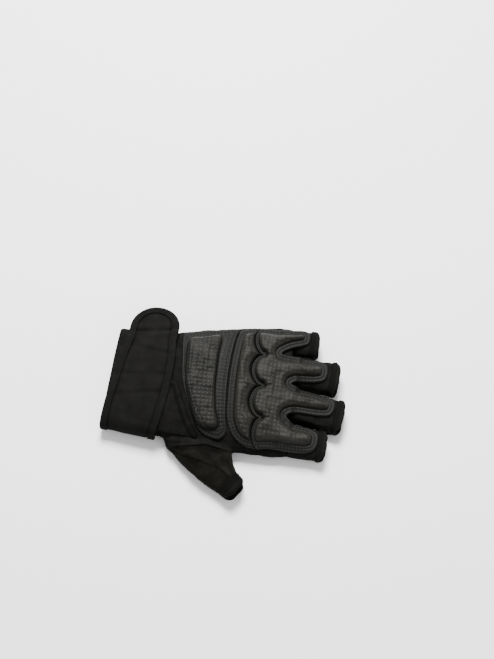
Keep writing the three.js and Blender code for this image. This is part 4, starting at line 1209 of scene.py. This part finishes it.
def curve_through(points, closed, step=0.8):
    """A centripetal curve through points, with even steps."""
    p = np.asarray(points, float)
    count = len(p)
    line = []
    for i in range(count if closed else count - 1):
        p1, p2 = p[i], p[(i + 1) % count]
        p0 = p[i - 1] if i > 0 or closed else 2 * p1 - p2
        p3 = p[(i + 2) % count] if i + 2 < count or closed else 2 * p2 - p1
        gaps = [max(np.linalg.norm(b - a) ** 0.5, 1e-4) for a, b in ((p0, p1), (p1, p2), (p2, p3))]
        t1 = ((p1 - p0) / gaps[0] - (p2 - p0) / (gaps[0] + gaps[1]) + (p2 - p1) / gaps[1]) * gaps[1]
        t2 = ((p2 - p1) / gaps[1] - (p3 - p1) / (gaps[1] + gaps[2]) + (p3 - p2) / gaps[2]) * gaps[1]
        t = np.linspace(0, 1, 40)[:-1, None]
        line.append((2 * t**3 - 3 * t**2 + 1) * p1 + (t**3 - 2 * t**2 + t) * t1
                    + (-2 * t**3 + 3 * t**2) * p2 + (t**3 - t**2) * t2)
    line = np.vstack(line + ([] if closed else [p[-1:]]))
    return resampled(line, step, closed)


def hand_points(shares):
    return [on_hand(along, across)[0] for along, across in shares]


def beside_split(acrosses, side):
    """Points beside the bowed line between the wrist pad and the knuckle bar."""
    return hand_points([(SPLIT + BOW * (across - BOW_AT) ** 2 + side * SPLIT_GAP / HAND_LENGTH, across)
                        for across in acrosses])


WRIST_PAD_EDGE = [(0.655, 0.055), (0.6, 0.055), (0.548, 0.085), (0.495, 0.18), (0.44, 0.345), (0.4, 0.5),
                  (0.378, 0.7), (0.368, 0.95), (0.46, 0.955), (0.56, 0.962)]
WRIST_FOAM_EDGE = [(0.4, 0.88), (0.48, 0.89), (0.567, 0.895), (0.578, 0.7), (0.59, 0.452), (0.612, 0.28),
                   (0.64, 0.14), (0.6, 0.107), (0.535, 0.12), (0.497, 0.185), (0.455, 0.32), (0.42, 0.46),
                   (0.402, 0.66)]
SCALLOPS = [(0.783, 0.975, 7), (0.816, 0.738, 10), (0.834, 0.492, 10), (0.85, 0.247, 6), (0.862, 0.03, 0)]
NOTCHES = [(0.997, 0.285), (0.997, 0.535), (0.917, 0.765)]
# tip, the side towards the little finger at the root and tip, the side towards the thumb at the root and tip
LOBES = [(0.985, 0.46, 0.41, -0.42, -0.35), (0.95, 0.49, 0.47, -0.35, -0.22),
         (0.9, 0.4, 0.4, -0.4, -0.3), (0.95, 0.33, 0.36, -0.3, -0.17)]


def scallop_line(offset):
    line = []
    for (a1, c1, sag), (a2, c2, _) in zip(SCALLOPS[:-1], SCALLOPS[1:]):
        a, b = on_hand(a1, c1)[0], on_hand(a2, c2)[0]
        bulge = np.array([b[1] - a[1], a[0] - b[0]]) / np.linalg.norm(b - a)
        t = np.linspace(0, 1, 33)[:, None]
        line.append(a + (b - a) * t + bulge * sag * np.sqrt(np.sin(math.pi * np.clip(t, 0, 1))) + [offset, 0])
    return resampled(np.vstack(line), 0.8, False)


def lobe(finger, row):
    tip_share, high_root, high_tip, low_root, low_tip = row
    tip = tip_share * (finger.length - HEM_WIDTH)
    middle = (high_tip + low_tip) / 2
    turn = lambda value: middle + 0.68 * (value - middle)
    places = [(0.14, low_root), (0.72, low_tip), (0.94, turn(low_tip)), (1.0, middle), (0.94, turn(high_tip)),
              (0.72, high_tip), (0.14, high_root)]
    return [finger.on(forward * tip, left * FINGER_WIDTH) for forward, left in places]


wrist_edge = curve_through(beside_split([0.955, 0.9, 0.75, 0.57, 0.38, 0.2, 0.11], -1)
                           + hand_points(WRIST_PAD_EDGE), True)
wrist_foot = curve_through(hand_points(WRIST_FOAM_EDGE), True)
scallop = scallop_line(0.0)
guard_scallop = scallop_line(0.3)
bar_rim = curve_through([scallop[0]] + hand_points([(0.71, 0.965), (0.67, 0.945)])
                        + beside_split([0.88, 0.75, 0.57, 0.38, 0.2], 1)
                        + hand_points([(0.725, 0.09), (0.78, 0.042)]) + [scallop[-1]], False)
lobe_points = []
for k, finger in enumerate(fingers):
    lobe_points += lobe(finger, LOBES[k])
    if k < len(NOTCHES):
        lobe_points += hand_points([NOTCHES[k]])
guard_rim = curve_through([guard_scallop[-1]] + hand_points([(0.93, 0.04)]) + lobe_points
                          + hand_points([(0.88, 0.965)]) + [guard_scallop[0]], False)
bar_edge = np.vstack([bar_rim[:-1], scallop[::-1][:-1]])
guard_edge = np.vstack([guard_scallop[:-1], guard_rim[:-1]])
print("outlines: %d, %d and %d points" % (len(wrist_edge), len(bar_edge), len(guard_edge)))

# %% [markdown]
# ## A panel from its outline
# A sewn panel is a flat pattern laid over a form. Its outline is filled with triangles: rows of points
# follow the edge closely, because the edge turns down there, and an even net fills the middle. The same
# pattern gives the upper side and the underside, and a function of the plan gives each its height.

# %% Panel maker


def signed_area(outline):
    """Twice the area within a closed outline, positive where its inside lies on its left."""
    following = np.roll(outline, -1, axis=0)
    return np.sum(outline[:, 0] * following[:, 1] - following[:, 0] * outline[:, 1])


def to_left(tangent):
    """The directions to the left of a line, from its tangents."""
    return np.column_stack([-tangent[:, 1], tangent[:, 0]]) / np.linalg.norm(tangent, axis=1)[:, None]


def inward_of(outline):
    """The direction inward at each point of a closed outline."""
    left = to_left(np.roll(outline, -1, axis=0) - np.roll(outline, 1, axis=0))
    return left if signed_area(outline) > 0 else -left


def plan_net(outline, spacing, rows=(0.25, 0.6, 1.1)):
    """Points and triangles that fill a closed outline."""
    outline = resampled(outline, spacing, True)
    inward = inward_of(outline)
    points = [outline]
    for row in rows:
        ring = outline + inward * row
        keep = (distance_to(outline, ring, True) > row * 0.93) & inside(outline, ring)
        points.append(ring[keep])
    low, high = outline.min(0), outline.max(0)
    across = np.arange(low[0], high[0], spacing)
    upward = np.arange(low[1], high[1], spacing * 0.866)
    grid = np.stack(np.meshgrid(across, upward, indexing="ij"), -1)
    grid[:, 1::2, 0] += spacing / 2
    grid = grid.reshape(-1, 2)
    grid = grid[inside(outline, grid)]
    grid = grid[distance_to(outline, grid, True) > rows[-1] + 0.5 * spacing]
    points = np.vstack(points + [grid])
    made = delaunay_2d_cdt([Vector(p) for p in points], [], [list(range(len(outline)))], 1, 1e-5)
    net_points = np.array([tuple(p) for p in made[0]])
    triangles = np.array([list(f) for f in made[2]])
    a, b, c = (net_points[triangles[:, k]] for k in range(3))
    turn = (b[:, 0] - a[:, 0]) * (c[:, 1] - a[:, 1]) - (b[:, 1] - a[:, 1]) * (c[:, 0] - a[:, 0])
    triangles[turn < 0] = triangles[turn < 0][:, ::-1]
    return net_points, triangles


def closed_panel(net_points, triangles, place, top, bottom):
    """The points and faces of a panel: the net at two heights, with a wall round its edge."""
    count = len(net_points)
    points = np.vstack([place(net_points, top), place(net_points, bottom)])
    edges = {}
    for a, b, c in triangles:
        for edge in ((a, b), (b, c), (c, a)):
            if edge[::-1] in edges:
                del edges[edge[::-1]]
            else:
                edges[edge] = True
    faces = [tuple(t) for t in triangles] + [(a + count, c + count, b + count) for a, b, c in triangles]
    faces += [(b, a, a + count, b + count) for a, b in edges]
    return points, faces


def on_back(xy, height):
    return np.column_stack([xy, back_height(xy) + height])


def rolled(away, thickness, radius=0.9):
    """Height of a panel near its edge: it turns down in a quarter circle."""
    t = np.clip(away / radius, 0, 1)
    return thickness * (0.42 + 0.58 * np.sqrt(1 - (1 - t) ** 2))


print("panel maker ready")

# %% [markdown]
# ## Foam under leather
# A pad is a sheet of foam, glued under embossed leather whose edge is sewn flat. Four things make its
# form: the flat flange with a furrow where thread pulls it in, the round shoulder, the crown, and the
# embossing, little pillows that fade out on the shoulder where the press didn't reach. The foam's own
# swelling comes from the cloth solver: a coarse copy of the pad, sewn to its flange and blown up, tells
# how much each place bulges.

# %% A pad's relief
FLANGE, FLANGE_WIDTH = 1.9, 5.6  # its thickness and its width
GROOVE, SCALLOP_ROW = 2.9, 2.1  # from a pad's rim, and from the scalloped seam, to the row of thread
PUCKER = 3.2  # from one pucker beside the thread to the next
EMBOSS_PITCH, EMBOSS_DEPTH, PUFF_LIMIT = 3.7, 0.5, 0.6


def foam(inset, rise, shoulder):
    """Height of the foam over the flange, at a distance from its foot."""
    t = np.clip(inset / shoulder, 0, 1)
    crown = 1 - np.exp(-np.maximum(inset - 2, 0) / 9.0)
    return rise * (0.86 * np.sin(t * math.pi / 2) ** 0.8 + 0.14 * crown)


def emboss(xy, turn):
    """1 in the hollows of a square grid and 0 on the little pillows between them."""
    c, s = math.cos(turn), math.sin(turn)
    grid = np.column_stack([xy[:, 0] * c + xy[:, 1] * s, xy[:, 1] * c - xy[:, 0] * s]) / EMBOSS_PITCH
    waves = 0.5 + 0.5 * np.cos(2 * math.pi * grid)
    return 1 - (waves[:, 0] * waves[:, 1]) ** 0.7


@dataclass
class Pad:
    """A padded panel, and how its leather lies."""
    name: str
    node: str
    edge: np.ndarray  # its outline on the plan
    foot: np.ndarray  # where the foam begins, or None where the rims say so
    rims: list  # line, width of the flange along it, steepness of the foam there
    rise: float  # height of the foam
    shoulder: float  # width of its round shoulder
    rows: list  # of thread: line, distance from it, depth of the furrow
    crumple: tuple  # middle, reach and depth of a creased place
    turn: float  # of the embossed grid
    seed: float
    pale: float = 1.0  # less paints the whole pad darker: painted shade for the pad that the key lamp lights most
    press: float = 1.0  # more is deeper embossing
    puffed: object = still  # how far the cloth solver moves the leather

    def inset(self, xy):
        """Distance inward from the foam's foot, negative on the flange. A steep rim counts it faster."""
        if self.foot is not None:
            away = distance_to(self.foot, xy, True)
            return np.where(inside(self.foot, xy), away, -away)
        return np.min([(distance_to(line, xy) - width) * steep for line, width, steep in self.rims], axis=0)

    def relief(self, xy):
        """Height over the glove's back, and the painted shade."""
        inset = self.inset(xy)
        height = rolled(distance_to(self.edge, xy, True), FLANGE)
        # painted shade: the foot of the foam is a dark, narrow crease, and the flange and the shoulder are
        # darker
        dark = 0.85 * np.exp(-(np.where(inset > 0, inset / 1.6, inset / 0.8)) ** 2)
        dark = np.maximum(dark, 0.78 * (1 - ease(inset, -0.8, 0.8)))
        dark = np.maximum(dark, 0.35 * (1 - ease(inset, 1.5, 1.2 * self.shoulder)))
        height -= 0.45 * np.exp(-(inset / 0.8) ** 2)
        # each row of thread presses a furrow, and the leather puckers beside it; painted shade darkens the
        # furrow and between the puckers, and lightens their tops
        for line, at, depth in self.rows:
            away, run = nearest_on(line, xy)
            groove = np.exp(-((away - at) / 0.75) ** 2)
            beside = np.exp(-((away - at) / 2.0) ** 2) * (1 - groove)
            pucker = 0.5 + 0.5 * np.cos(2 * math.pi * run / PUCKER)
            height -= depth * groove * (0.7 + 0.3 * pucker)
            height += 0.42 * (pucker - 0.4) * beside
            dark = np.maximum(dark, groove)
            dark -= 0.5 * (pucker - 0.4) * beside
        # the press reached the crown, some places more than others; painted shade fills the embossed hollows
        pressed = self.press * (0.8 + 0.5 * smooth_noise(xy, 13.0, self.seed + 9))
        grid = emboss(xy, self.turn) * ease(inset, 0.6, 3.5) * np.clip(pressed, 0.4, 1.4)
        height -= EMBOSS_DEPTH * grid
        dark = np.maximum(dark, np.minimum(0.62 * grid, 0.9))
        # a creased place, darkened with painted shade, the cloth solver's swelling, and slow and quick
        # unevenness
        centre, reach, depth = self.crumple
        near = np.exp(-(((xy - centre) ** 2).sum(1)) / reach ** 2)
        crease = (1 - np.abs(smooth_noise(xy, 6.5, self.seed + 2))) ** 5 * near * ease(inset, -1, 4)
        height -= depth * crease
        dark = np.maximum(dark, 0.6 * crease)
        height += self.puffed(xy) * ease(inset, 0, 3)
        height += 0.2 * smooth_noise(xy, 16.0, self.seed) * ease(inset, 0, 6)
        height += 0.14 * smooth_noise(xy, 5.0, self.seed + 4)
        return height + foam(inset, self.rise, self.shoulder), self.pale * np.clip(1 - dark, 0, 1)

    def height(self, xy):
        return self.relief(xy)[0]

    def puff_up(self):
        """Blows the pad up as a coarse cloth that is sewn to its flange, and keeps how far it moved."""
        net_points, triangles = plan_net(self.edge, 2.4, rows=(1.2,))
        inset = self.inset(net_points)
        start = np.column_stack([net_points, foam(inset, self.rise, self.shoulder)])
        rest = settled(start, triangles.tolist(), inset < 0.4, pressure=2.0, growth=0.05)
        rise = (rest - start)[:, 2]
        moved = np.clip(rise - np.median(rise[inset > 3]), -PUFF_LIMIT, PUFF_LIMIT)
        print("%s puffs by %.2f to %.2f mm" % (self.name, moved.min(), moved.max()))
        self.puffed = spread(net_points, moved, 2.0)


print("pads: embossed every %.1f mm, %.1f mm deep" % (EMBOSS_PITCH, EMBOSS_DEPTH))

# %% [markdown]
# ## The three pads
# The wrist pad has a free flange all round, so its foam has an outline of its own. The bar and the
# guard share the scalloped seam. The bar's foam rises gently from it, the guard first dips to a row of
# thread, and small creases run out from its cusps. Three separate functions could make them, but the
# pads differ only in their values, so one class serves all three.

# %% The three pads
wrist_rim = np.vstack([wrist_edge, wrist_edge[:1]])
cusps = [on_hand(along, across)[0] for along, across, _ in SCALLOPS[1:-1]]
cusp_creases = [(np.array([cusp + [3, 0], cusp + [9, 1.5]]), 0.0, 0.9) for cusp in cusps]
wrist = Pad(
    "wrist_pad_leather", "wrist_pad", edge=wrist_edge, foot=wrist_foot, rims=[], rise=6.2, shoulder=3.8,
    rows=[(wrist_rim, GROOVE, 0.55), (wrist_rim, 6.4, 0.3)],
    crumple=(on_hand(0.5, 0.17)[0], 11.0, 0.9), turn=0.06, seed=11.0, pale=0.88, press=1.5)
bar = Pad(
    "knuckle_bar_leather", "knuckle_bar", edge=bar_edge, foot=None,
    rims=[(bar_rim, FLANGE_WIDTH, 1.0), (scallop, 0.2, 0.62)], rise=6.6, shoulder=5.0,
    rows=[(bar_rim, GROOVE, 0.55)],
    crumple=(on_hand(0.77, 0.12)[0], 17.0, 1.3), turn=0.05, seed=23.0)
guard = Pad(
    "finger_guard_leather", "finger_guard", edge=guard_edge, foot=None,
    rims=[(guard_rim, FLANGE_WIDTH, 1.0), (guard_scallop, 3.0, 1.9)], rise=5.3, shoulder=5.2,
    rows=[(guard_rim, GROOVE, 0.55), (guard_scallop, SCALLOP_ROW, 0.5)] + cusp_creases,
    crumple=(on_hand(0.93, 0.5)[0], 10.0, 0.25), turn=0.0, seed=37.0)
for pad in (wrist, bar, guard):
    pad.puff_up()
    net_points, triangles = plan_net(pad.edge, 0.62)
    top, shade = pad.relief(net_points)
    at_edge = distance_to(pad.edge, net_points, True) < 0.05
    bottom = np.minimum(np.where(at_edge, 0.3, 0.12), top - 0.3)
    points, faces = closed_panel(net_points, triangles, on_back, top, bottom)
    cut = np.vstack([net_points, net_points])
    piece = new_piece(pad.name, points, faces, LEATHER, [pad.node], cut, np.tile(shade, 2))
    print("%s: %d triangles" % (pad.name, len(faces)))

# %% [markdown]
# ## Stitches on the leather
# A row of thread holds each flange down, and one more follows the scalloped seam. A bump can't give a
# thread that catches light, so every stitch is a small capsule that sinks into the leather at both
# ends. A row is the outline moved inward; where it would cross itself, in a notch, the stray points are
# dropped.

# %% Stitch rows on the pads
ROW_STEP = 0.7


def moved_in(line, distance, closed):
    """A line moved to its left, without the parts that come too close to it again."""
    line = resampled(line, ROW_STEP, closed)
    if closed and signed_area(line) < 0:
        line = line[::-1]
    if closed:
        left = to_left(np.roll(line, -1, axis=0) - np.roll(line, 1, axis=0))
    else:
        left = to_left(np.gradient(line, axis=0))
    shifted = line + left * distance
    return shifted[distance_to(line, shifted, closed) > abs(distance) * 0.96]


def thread_on(pad, line, distance, closed):
    """A stitch row on a pad: its points on the leather, and a way up that leans half as the leather does."""
    path = resampled(moved_in(line, distance, closed), ROW_STEP, closed)
    step = 0.4
    here = on_back(path, pad.height(path))
    east = on_back(path + [step, 0], pad.height(path + [step, 0])) - here
    north = on_back(path + [0, step], pad.height(path + [0, step])) - here
    upward = np.cross(east, north)
    upward /= np.linalg.norm(upward, axis=1)[:, None]
    return here, upward * 0.5 + np.array([0, 0, 0.5])


# name, rows of thread, true where a row runs all round
THREADS = [
    ("wrist_pad_stitches", [thread_on(wrist, wrist_edge, GROOVE, True)], True),
    ("knuckle_bar_stitches", [thread_on(bar, bar_rim, GROOVE, False)], False),
    ("finger_guard_stitches", [thread_on(guard, guard_rim, GROOVE, False),
                               thread_on(guard, guard_scallop, SCALLOP_ROW, False)], False),
]
for name, lines, closed in THREADS:
    points, faces = stitches(lines, closed=closed)
    new_piece(name, points, faces, THREAD)
print("stitch rows: %d" % sum(len(lines) for _, lines, _ in THREADS))

# %% [markdown]
# ## The wrist flap
# Behind the thumb a triangular layer of the wrist wrap lies on the back of the hand. Its slanting edge
# is turned under and sewn with two rows. It is a panel like the pads, but thin, with a step where the
# turned edge ends.

# %% Wrist flap
FLAP_CORNERS = [(0.28, 0.02), (0.32, 0.3), (0.34, 0.49), (0.378, 0.475), (0.425, 0.325), (0.48, 0.165),
                (0.535, 0.065), (0.53, 0.03)]
FLAP_ROWS, FLAP_THICKNESS, TURNED = (1.5, 4.4), 1.75, 1.2
# turned round, so that the inside lies on the left
flap_edge = resampled(np.array(hand_points(FLAP_CORNERS)), 0.8, True)[::-1]
flap_hem = curve_through(hand_points(FLAP_CORNERS[2:7]), False)


def hand_back_height(xy):
    section = hand_section(np.clip((xy[:, 0] - WRIST_X) / HAND_LENGTH, 0, 1))
    return dome(section, xy[:, 1] - section["centre"])


def flap_height(xy):
    """Thicker where the edge is turned under, with a furrow under each row of thread."""
    from_hem = distance_to(flap_hem, xy)
    turned = TURNED * (1 - ease(from_hem, 4.9, 5.8))
    furrows = sum(-0.5 * np.exp(-((from_hem - at) / 0.5) ** 2) for at in FLAP_ROWS)
    sag = 0.4 * smooth_noise(xy, 11.0, 5.0) + 0.2 * smooth_noise(xy, 4.0, 9.0)
    return rolled(distance_to(flap_edge, xy, True), FLAP_THICKNESS, 0.7) + turned + furrows + sag


def flap_shade(xy):
    """Painted shade: dark along the thread and beside the step of the turned edge."""
    from_hem = distance_to(flap_hem, xy)
    places = [(0.2, 0.6), (FLAP_ROWS[0], 0.5), (FLAP_ROWS[1], 0.5), (6.2, 0.8)]
    return 1 - 0.8 * np.max([np.exp(-((from_hem - at) / wide) ** 2) for at, wide in places], axis=0)


def on_hand_back(xy, height):
    return np.column_stack([xy, hand_back_height(xy) + height])


net_points, triangles = plan_net(flap_edge, 0.9)
under = np.full(len(net_points), 0.2)
points, faces = closed_panel(net_points, triangles, on_hand_back, flap_height(net_points), under)
flap = new_piece("wrist_flap_knit", points, faces, KNIT, ["wrist_flap"], np.tile(net_points, (2, 1)),
                 np.tile(flap_shade(net_points), 2))
flap_lines = []
for distance in FLAP_ROWS:
    path = resampled(moved_in(flap_hem[::-1], distance, False), ROW_STEP, False)
    path = path[inside(flap_edge, path)]
    flap_lines.append((on_hand_back(path, flap_height(path)), np.tile([0, 0, 1.0], (len(path), 1))))
points, faces = stitches(flap_lines, length=2.0, gap=0.9, radius=0.2, closed=False)
new_piece("wrist_flap_stitches", points, faces, DARK_THREAD)
print("flap: %d triangles, cut %.0f by %.0f mm" % (len(triangles), *np.ptp(net_points, axis=0)))

# %% [markdown]
# ## The wrist strap
# The strap is a flat band that runs from under the wrist, round the thumb's side and over the back, and
# ends in a round tongue. On the table it would be a long tongue-shaped pattern. So it is made flat, in
# distance along and place across, and a function wraps that pattern round the wrist. Its edge is bound
# with tape.

# %% Strap pattern and its wrap
STRAP_WIDTH, STRAP_X, TONGUE, DROOP = 52.0, -81.0, 36.0, math.radians(12)
STRAP_FROM, STRAP_LEAVE = math.radians(286), math.radians(50)  # angles round the wrist
BINDING = 6.5
STRAP_TOP, STRAP_UNDER = 2.85, 0.45  # its two faces over the wrist
# place round the wrist, shift towards the fingers and width as shares of the strap's
STRAP_ROWS = [(0.0, 0.0, 0.96), (0.45, 0.0, 0.97), (0.7, 0.06, 1.03), (0.85, 0.12, 1.0), (1.0, 0.14, 0.86)]
around_table = np.linspace(0, 1, 400)


def strap_section(x, around, grow):
    """A place on the wrist, under the strap, moved outward by grow."""
    section = hand_section(np.clip((x - WRIST_X) / HAND_LENGTH, 0, 1))
    section["floor"] = np.full_like(section["mid"], -1e3)
    angle = STRAP_FROM + (STRAP_LEAVE - STRAP_FROM) * around
    across, height = section_curve(section, angle, CLEARANCE)
    ahead, above = section_curve(section, angle - 0.01, CLEARANCE)
    along_y, along_z = ahead - across, above - height
    length = np.hypot(along_y, along_z)
    outward = np.stack([-along_z, along_y]) / length
    return section["centre"] + across + outward[0] * grow, height + outward[1] * grow


middle_y, middle_z = strap_section(np.full_like(around_table, STRAP_X), around_table, 0.0)
run_table = np.concatenate([[0], np.cumsum(np.hypot(np.diff(middle_y), np.diff(middle_z)))])
WRAP = run_table[-1]


def wrap(pattern, height):
    """From the strap's flat pattern, (along, x), and a height over it to its place round the wrist."""
    run, x = pattern[:, 0], pattern[:, 1]
    around = np.interp(np.minimum(run, WRAP), run_table, around_table)
    y, z = strap_section(x, around, 0 * run)
    y1, z1 = strap_section(x, around, 1 + 0 * run)
    out = np.maximum(run - WRAP, 0)
    bend = ease(run, WRAP - 16, WRAP + 6)
    up_y = (y1 - y) * (1 - bend) + math.sin(DROOP) * bend
    up_z = (z1 - z) * (1 - bend) + math.cos(DROOP) * bend
    size = np.hypot(up_y, up_z)
    return np.column_stack([x, y + out * math.cos(DROOP) + up_y / size * height,
                            z - out * math.sin(DROOP) + up_z / size * height])


def strap_half(run):
    """Middle and half width of the strap at a distance along it; the tongue ends in a half round."""
    around = np.interp(np.minimum(run, WRAP), run_table, around_table)
    shift, width = between_rows(STRAP_ROWS, around)
    radius = STRAP_ROWS[-1][2] * STRAP_WIDTH / 2
    rounded = np.clip(1 - (WRAP + TONGUE - run) / radius, 0, 1)
    return STRAP_X + shift * STRAP_WIDTH, width * STRAP_WIDTH / 2 * np.sqrt(1 - rounded ** 2)


runs = WRAP + TONGUE * np.sin(np.linspace(0, math.pi / 2, 60))
runs = np.concatenate([np.linspace(0, WRAP, 160)[:-1], runs])
middle, half = strap_half(runs)
near, far = np.column_stack([runs, middle - half]), np.column_stack([runs, middle + half])
strap_edge = resampled(np.vstack([near, far[::-1]]), 0.9, True)
# distance along the strap, depth, width, slant
STRAP_CREASES = [(WRAP + 10, -1.4, 1.8, 0.14), (WRAP + 3, 0.9, 2.6, 0.22), (WRAP - 8, -1.1, 2.0, -0.12),
                 (WRAP - 34, -0.6, 1.8, 0.1), (WRAP - 52, -0.8, 2.2, 0.2), (WRAP - 78, 0.8, 3.4, -0.1),
                 (WRAP - 100, -1.1, 2.4, 0.05)]


def noise_across(pattern, seed):
    """How strongly a crease shows at each place across the strap."""
    return 0.6 + 0.8 * smooth_noise(np.column_stack([pattern[:, 1], 0 * pattern[:, 0]]), 22.0, seed)


def strap_wave(pattern):
    """Soft creases across the tongue and where the strap turns over the edge of the hand."""
    wave = 0.5 * smooth_noise(pattern, 17.0, 2.0) + 0.22 * smooth_noise(pattern, 6.0, 6.0)
    for run, depth, width, slant in STRAP_CREASES:
        line = pattern[:, 0] - run - slant * (pattern[:, 1] - STRAP_X)
        wave += depth * np.exp(-(line / width) ** 2) * ease(noise_across(pattern, run), 0.15, 0.8)
    return wave


net_points, triangles = plan_net(moved_in(strap_edge, 1.2, True), 1.0)
away = distance_to(strap_edge, net_points, True)
wave = strap_wave(net_points)
dip = -0.35 * np.exp(-((away - BINDING) / 1.2) ** 2)
points, faces = closed_panel(net_points, triangles, wrap, STRAP_TOP + wave + dip, STRAP_UNDER + 0 * wave)
# painted shade: dark beside the binding's inner rim, which stands higher, and in the creases that sink
shade = np.clip(1 - 0.8 * np.exp(-((away - BINDING) / 1.6) ** 2) + 0.7 * np.minimum(wave, 0), 0.1, 1)
strap = new_piece("strap_band", points, faces, LOOP, ["strap"], np.tile(net_points, (2, 1)),
                  np.tile(shade, 2))
print("strap: %.0f mm along, %d triangles" % (WRAP + TONGUE, len(faces)))

# %% [markdown]
# ## Binding and its stitches
# Tape is folded over the strap's raw edge and sewn through with one row of stitches near its inner rim.
# It could be a bevel of the strap's own edge, but then it would have no inner rim to throw a shadow. So
# the fold is a U-shaped profile, swept round the outline.

# %% Strap binding
# distance in from the strap's edge, height over the wrist
BINDING_PROFILE = [
    (6.5, 3.05), (6.45, 3.55), (6.1, 3.7), (5.2, 3.62), (4.7, 3.4), (4.2, 3.62), (2.6, 3.75), (1.2, 3.7),
    (0.45, 3.4), (0.05, 2.7), (0.0, 1.8), (0.05, 0.9), (0.4, 0.3), (1.2, 0.02), (4.2, 0.0), (6.3, 0.0),
    (6.45, 0.3), (1.6, 0.42), (0.95, 0.8), (0.85, 1.7), (0.95, 2.6), (1.6, 3.0),
]
SEWN_AT, SEWN_HEIGHT, TAPE_STEP = 4.7, 3.47, 1.3
line = resampled(strap_edge, TAPE_STEP, True)
inward = inward_of(line)
edge_wave = strap_wave(line) * 0.8
rings = []
for distance, height in BINDING_PROFILE:
    lifted = height + edge_wave * (height > 0.2) * (distance > 0.3)
    rings.append(wrap(line + inward * distance, lifted))
points, faces = band(np.array(rings).transpose(1, 0, 2), True)
cut = flat_pattern(np.arange(len(line)) * TAPE_STEP, BINDING_PROFILE)
# painted shade: dark along the row of thread and on the binding's sides and underside, below its top
shade = np.array([0.3 if abs(distance - SEWN_AT) < 0.3 or height < 2.9 else 1.0
                  for distance, height in BINDING_PROFILE])
new_piece("strap_binding_tape", points, faces, TAPE, ["strap_binding"], cut,
          np.tile(shade, len(line)))
seam = line + inward * SEWN_AT
upward = wrap(seam, SEWN_HEIGHT + 1 + edge_wave) - wrap(seam, SEWN_HEIGHT + edge_wave)
points, faces = stitches([(wrap(seam, SEWN_HEIGHT + edge_wave), upward)], length=2.3, gap=0.9, radius=0.22)
new_piece("strap_stitches", points, faces, DARK_THREAD)
print("binding: %.0f mm of tape" % (len(line) * TAPE_STEP))

# %% [markdown]
# ## The hook patch
# Under the tongue sits the hook patch that holds the strap: a stiff tape with rows of little hooks. It
# lies in the shade and is small, so each hook is only a short stem with a wider head, hanging from the
# tape.

# %% Hook patch
HOOK_PITCH, TAPE_TOP, TAPE_UNDER, PATCH_REACH = 1.3, -0.05, -1.45, 17
HOOK_SHAPE = [(-1.4, 0.25), (-1.75, 0.2), (-1.95, 0.35)]  # height and half width, down the stem
HOOK_TAPE = tape("hook_tape", 0.006)
hook_edge = moved_in(strap_edge, BINDING + 3.0, True)
hook_edge = hook_edge[hook_edge[:, 0] > WRAP + TONGUE - BINDING - PATCH_REACH]
hook_edge = resampled(hook_edge, 1.0, True)
net_points, triangles = plan_net(hook_edge, 1.4)
flat = np.ones(len(net_points))
hooks = [closed_panel(net_points, triangles, wrap, TAPE_TOP * flat, TAPE_UNDER * flat)]
low, high = hook_edge.min(0), hook_edge.max(0)
grid = np.stack(np.meshgrid(*(np.arange(a, b, HOOK_PITCH) for a, b in zip(low, high))), -1).reshape(-1, 2)
grid = grid[inside(hook_edge, grid)]
grid = grid[distance_to(hook_edge, grid, True) > HOOK_PITCH]
for at in grid:
    stem = [wrap(at[None] + [x * half, y * half], np.array([height]))[0] for height, half in HOOK_SHAPE
            for x, y in ((-1, -1), (1, -1), (1, 1), (-1, 1))]
    hooks.append((stem, skin(3, 4) + caps(3, 4)))
points, faces = joined(hooks)
new_piece("hook_patch_tape", points, faces, HOOK_TAPE, ["hook_patch"])
print("hooks: %d" % len(grid))
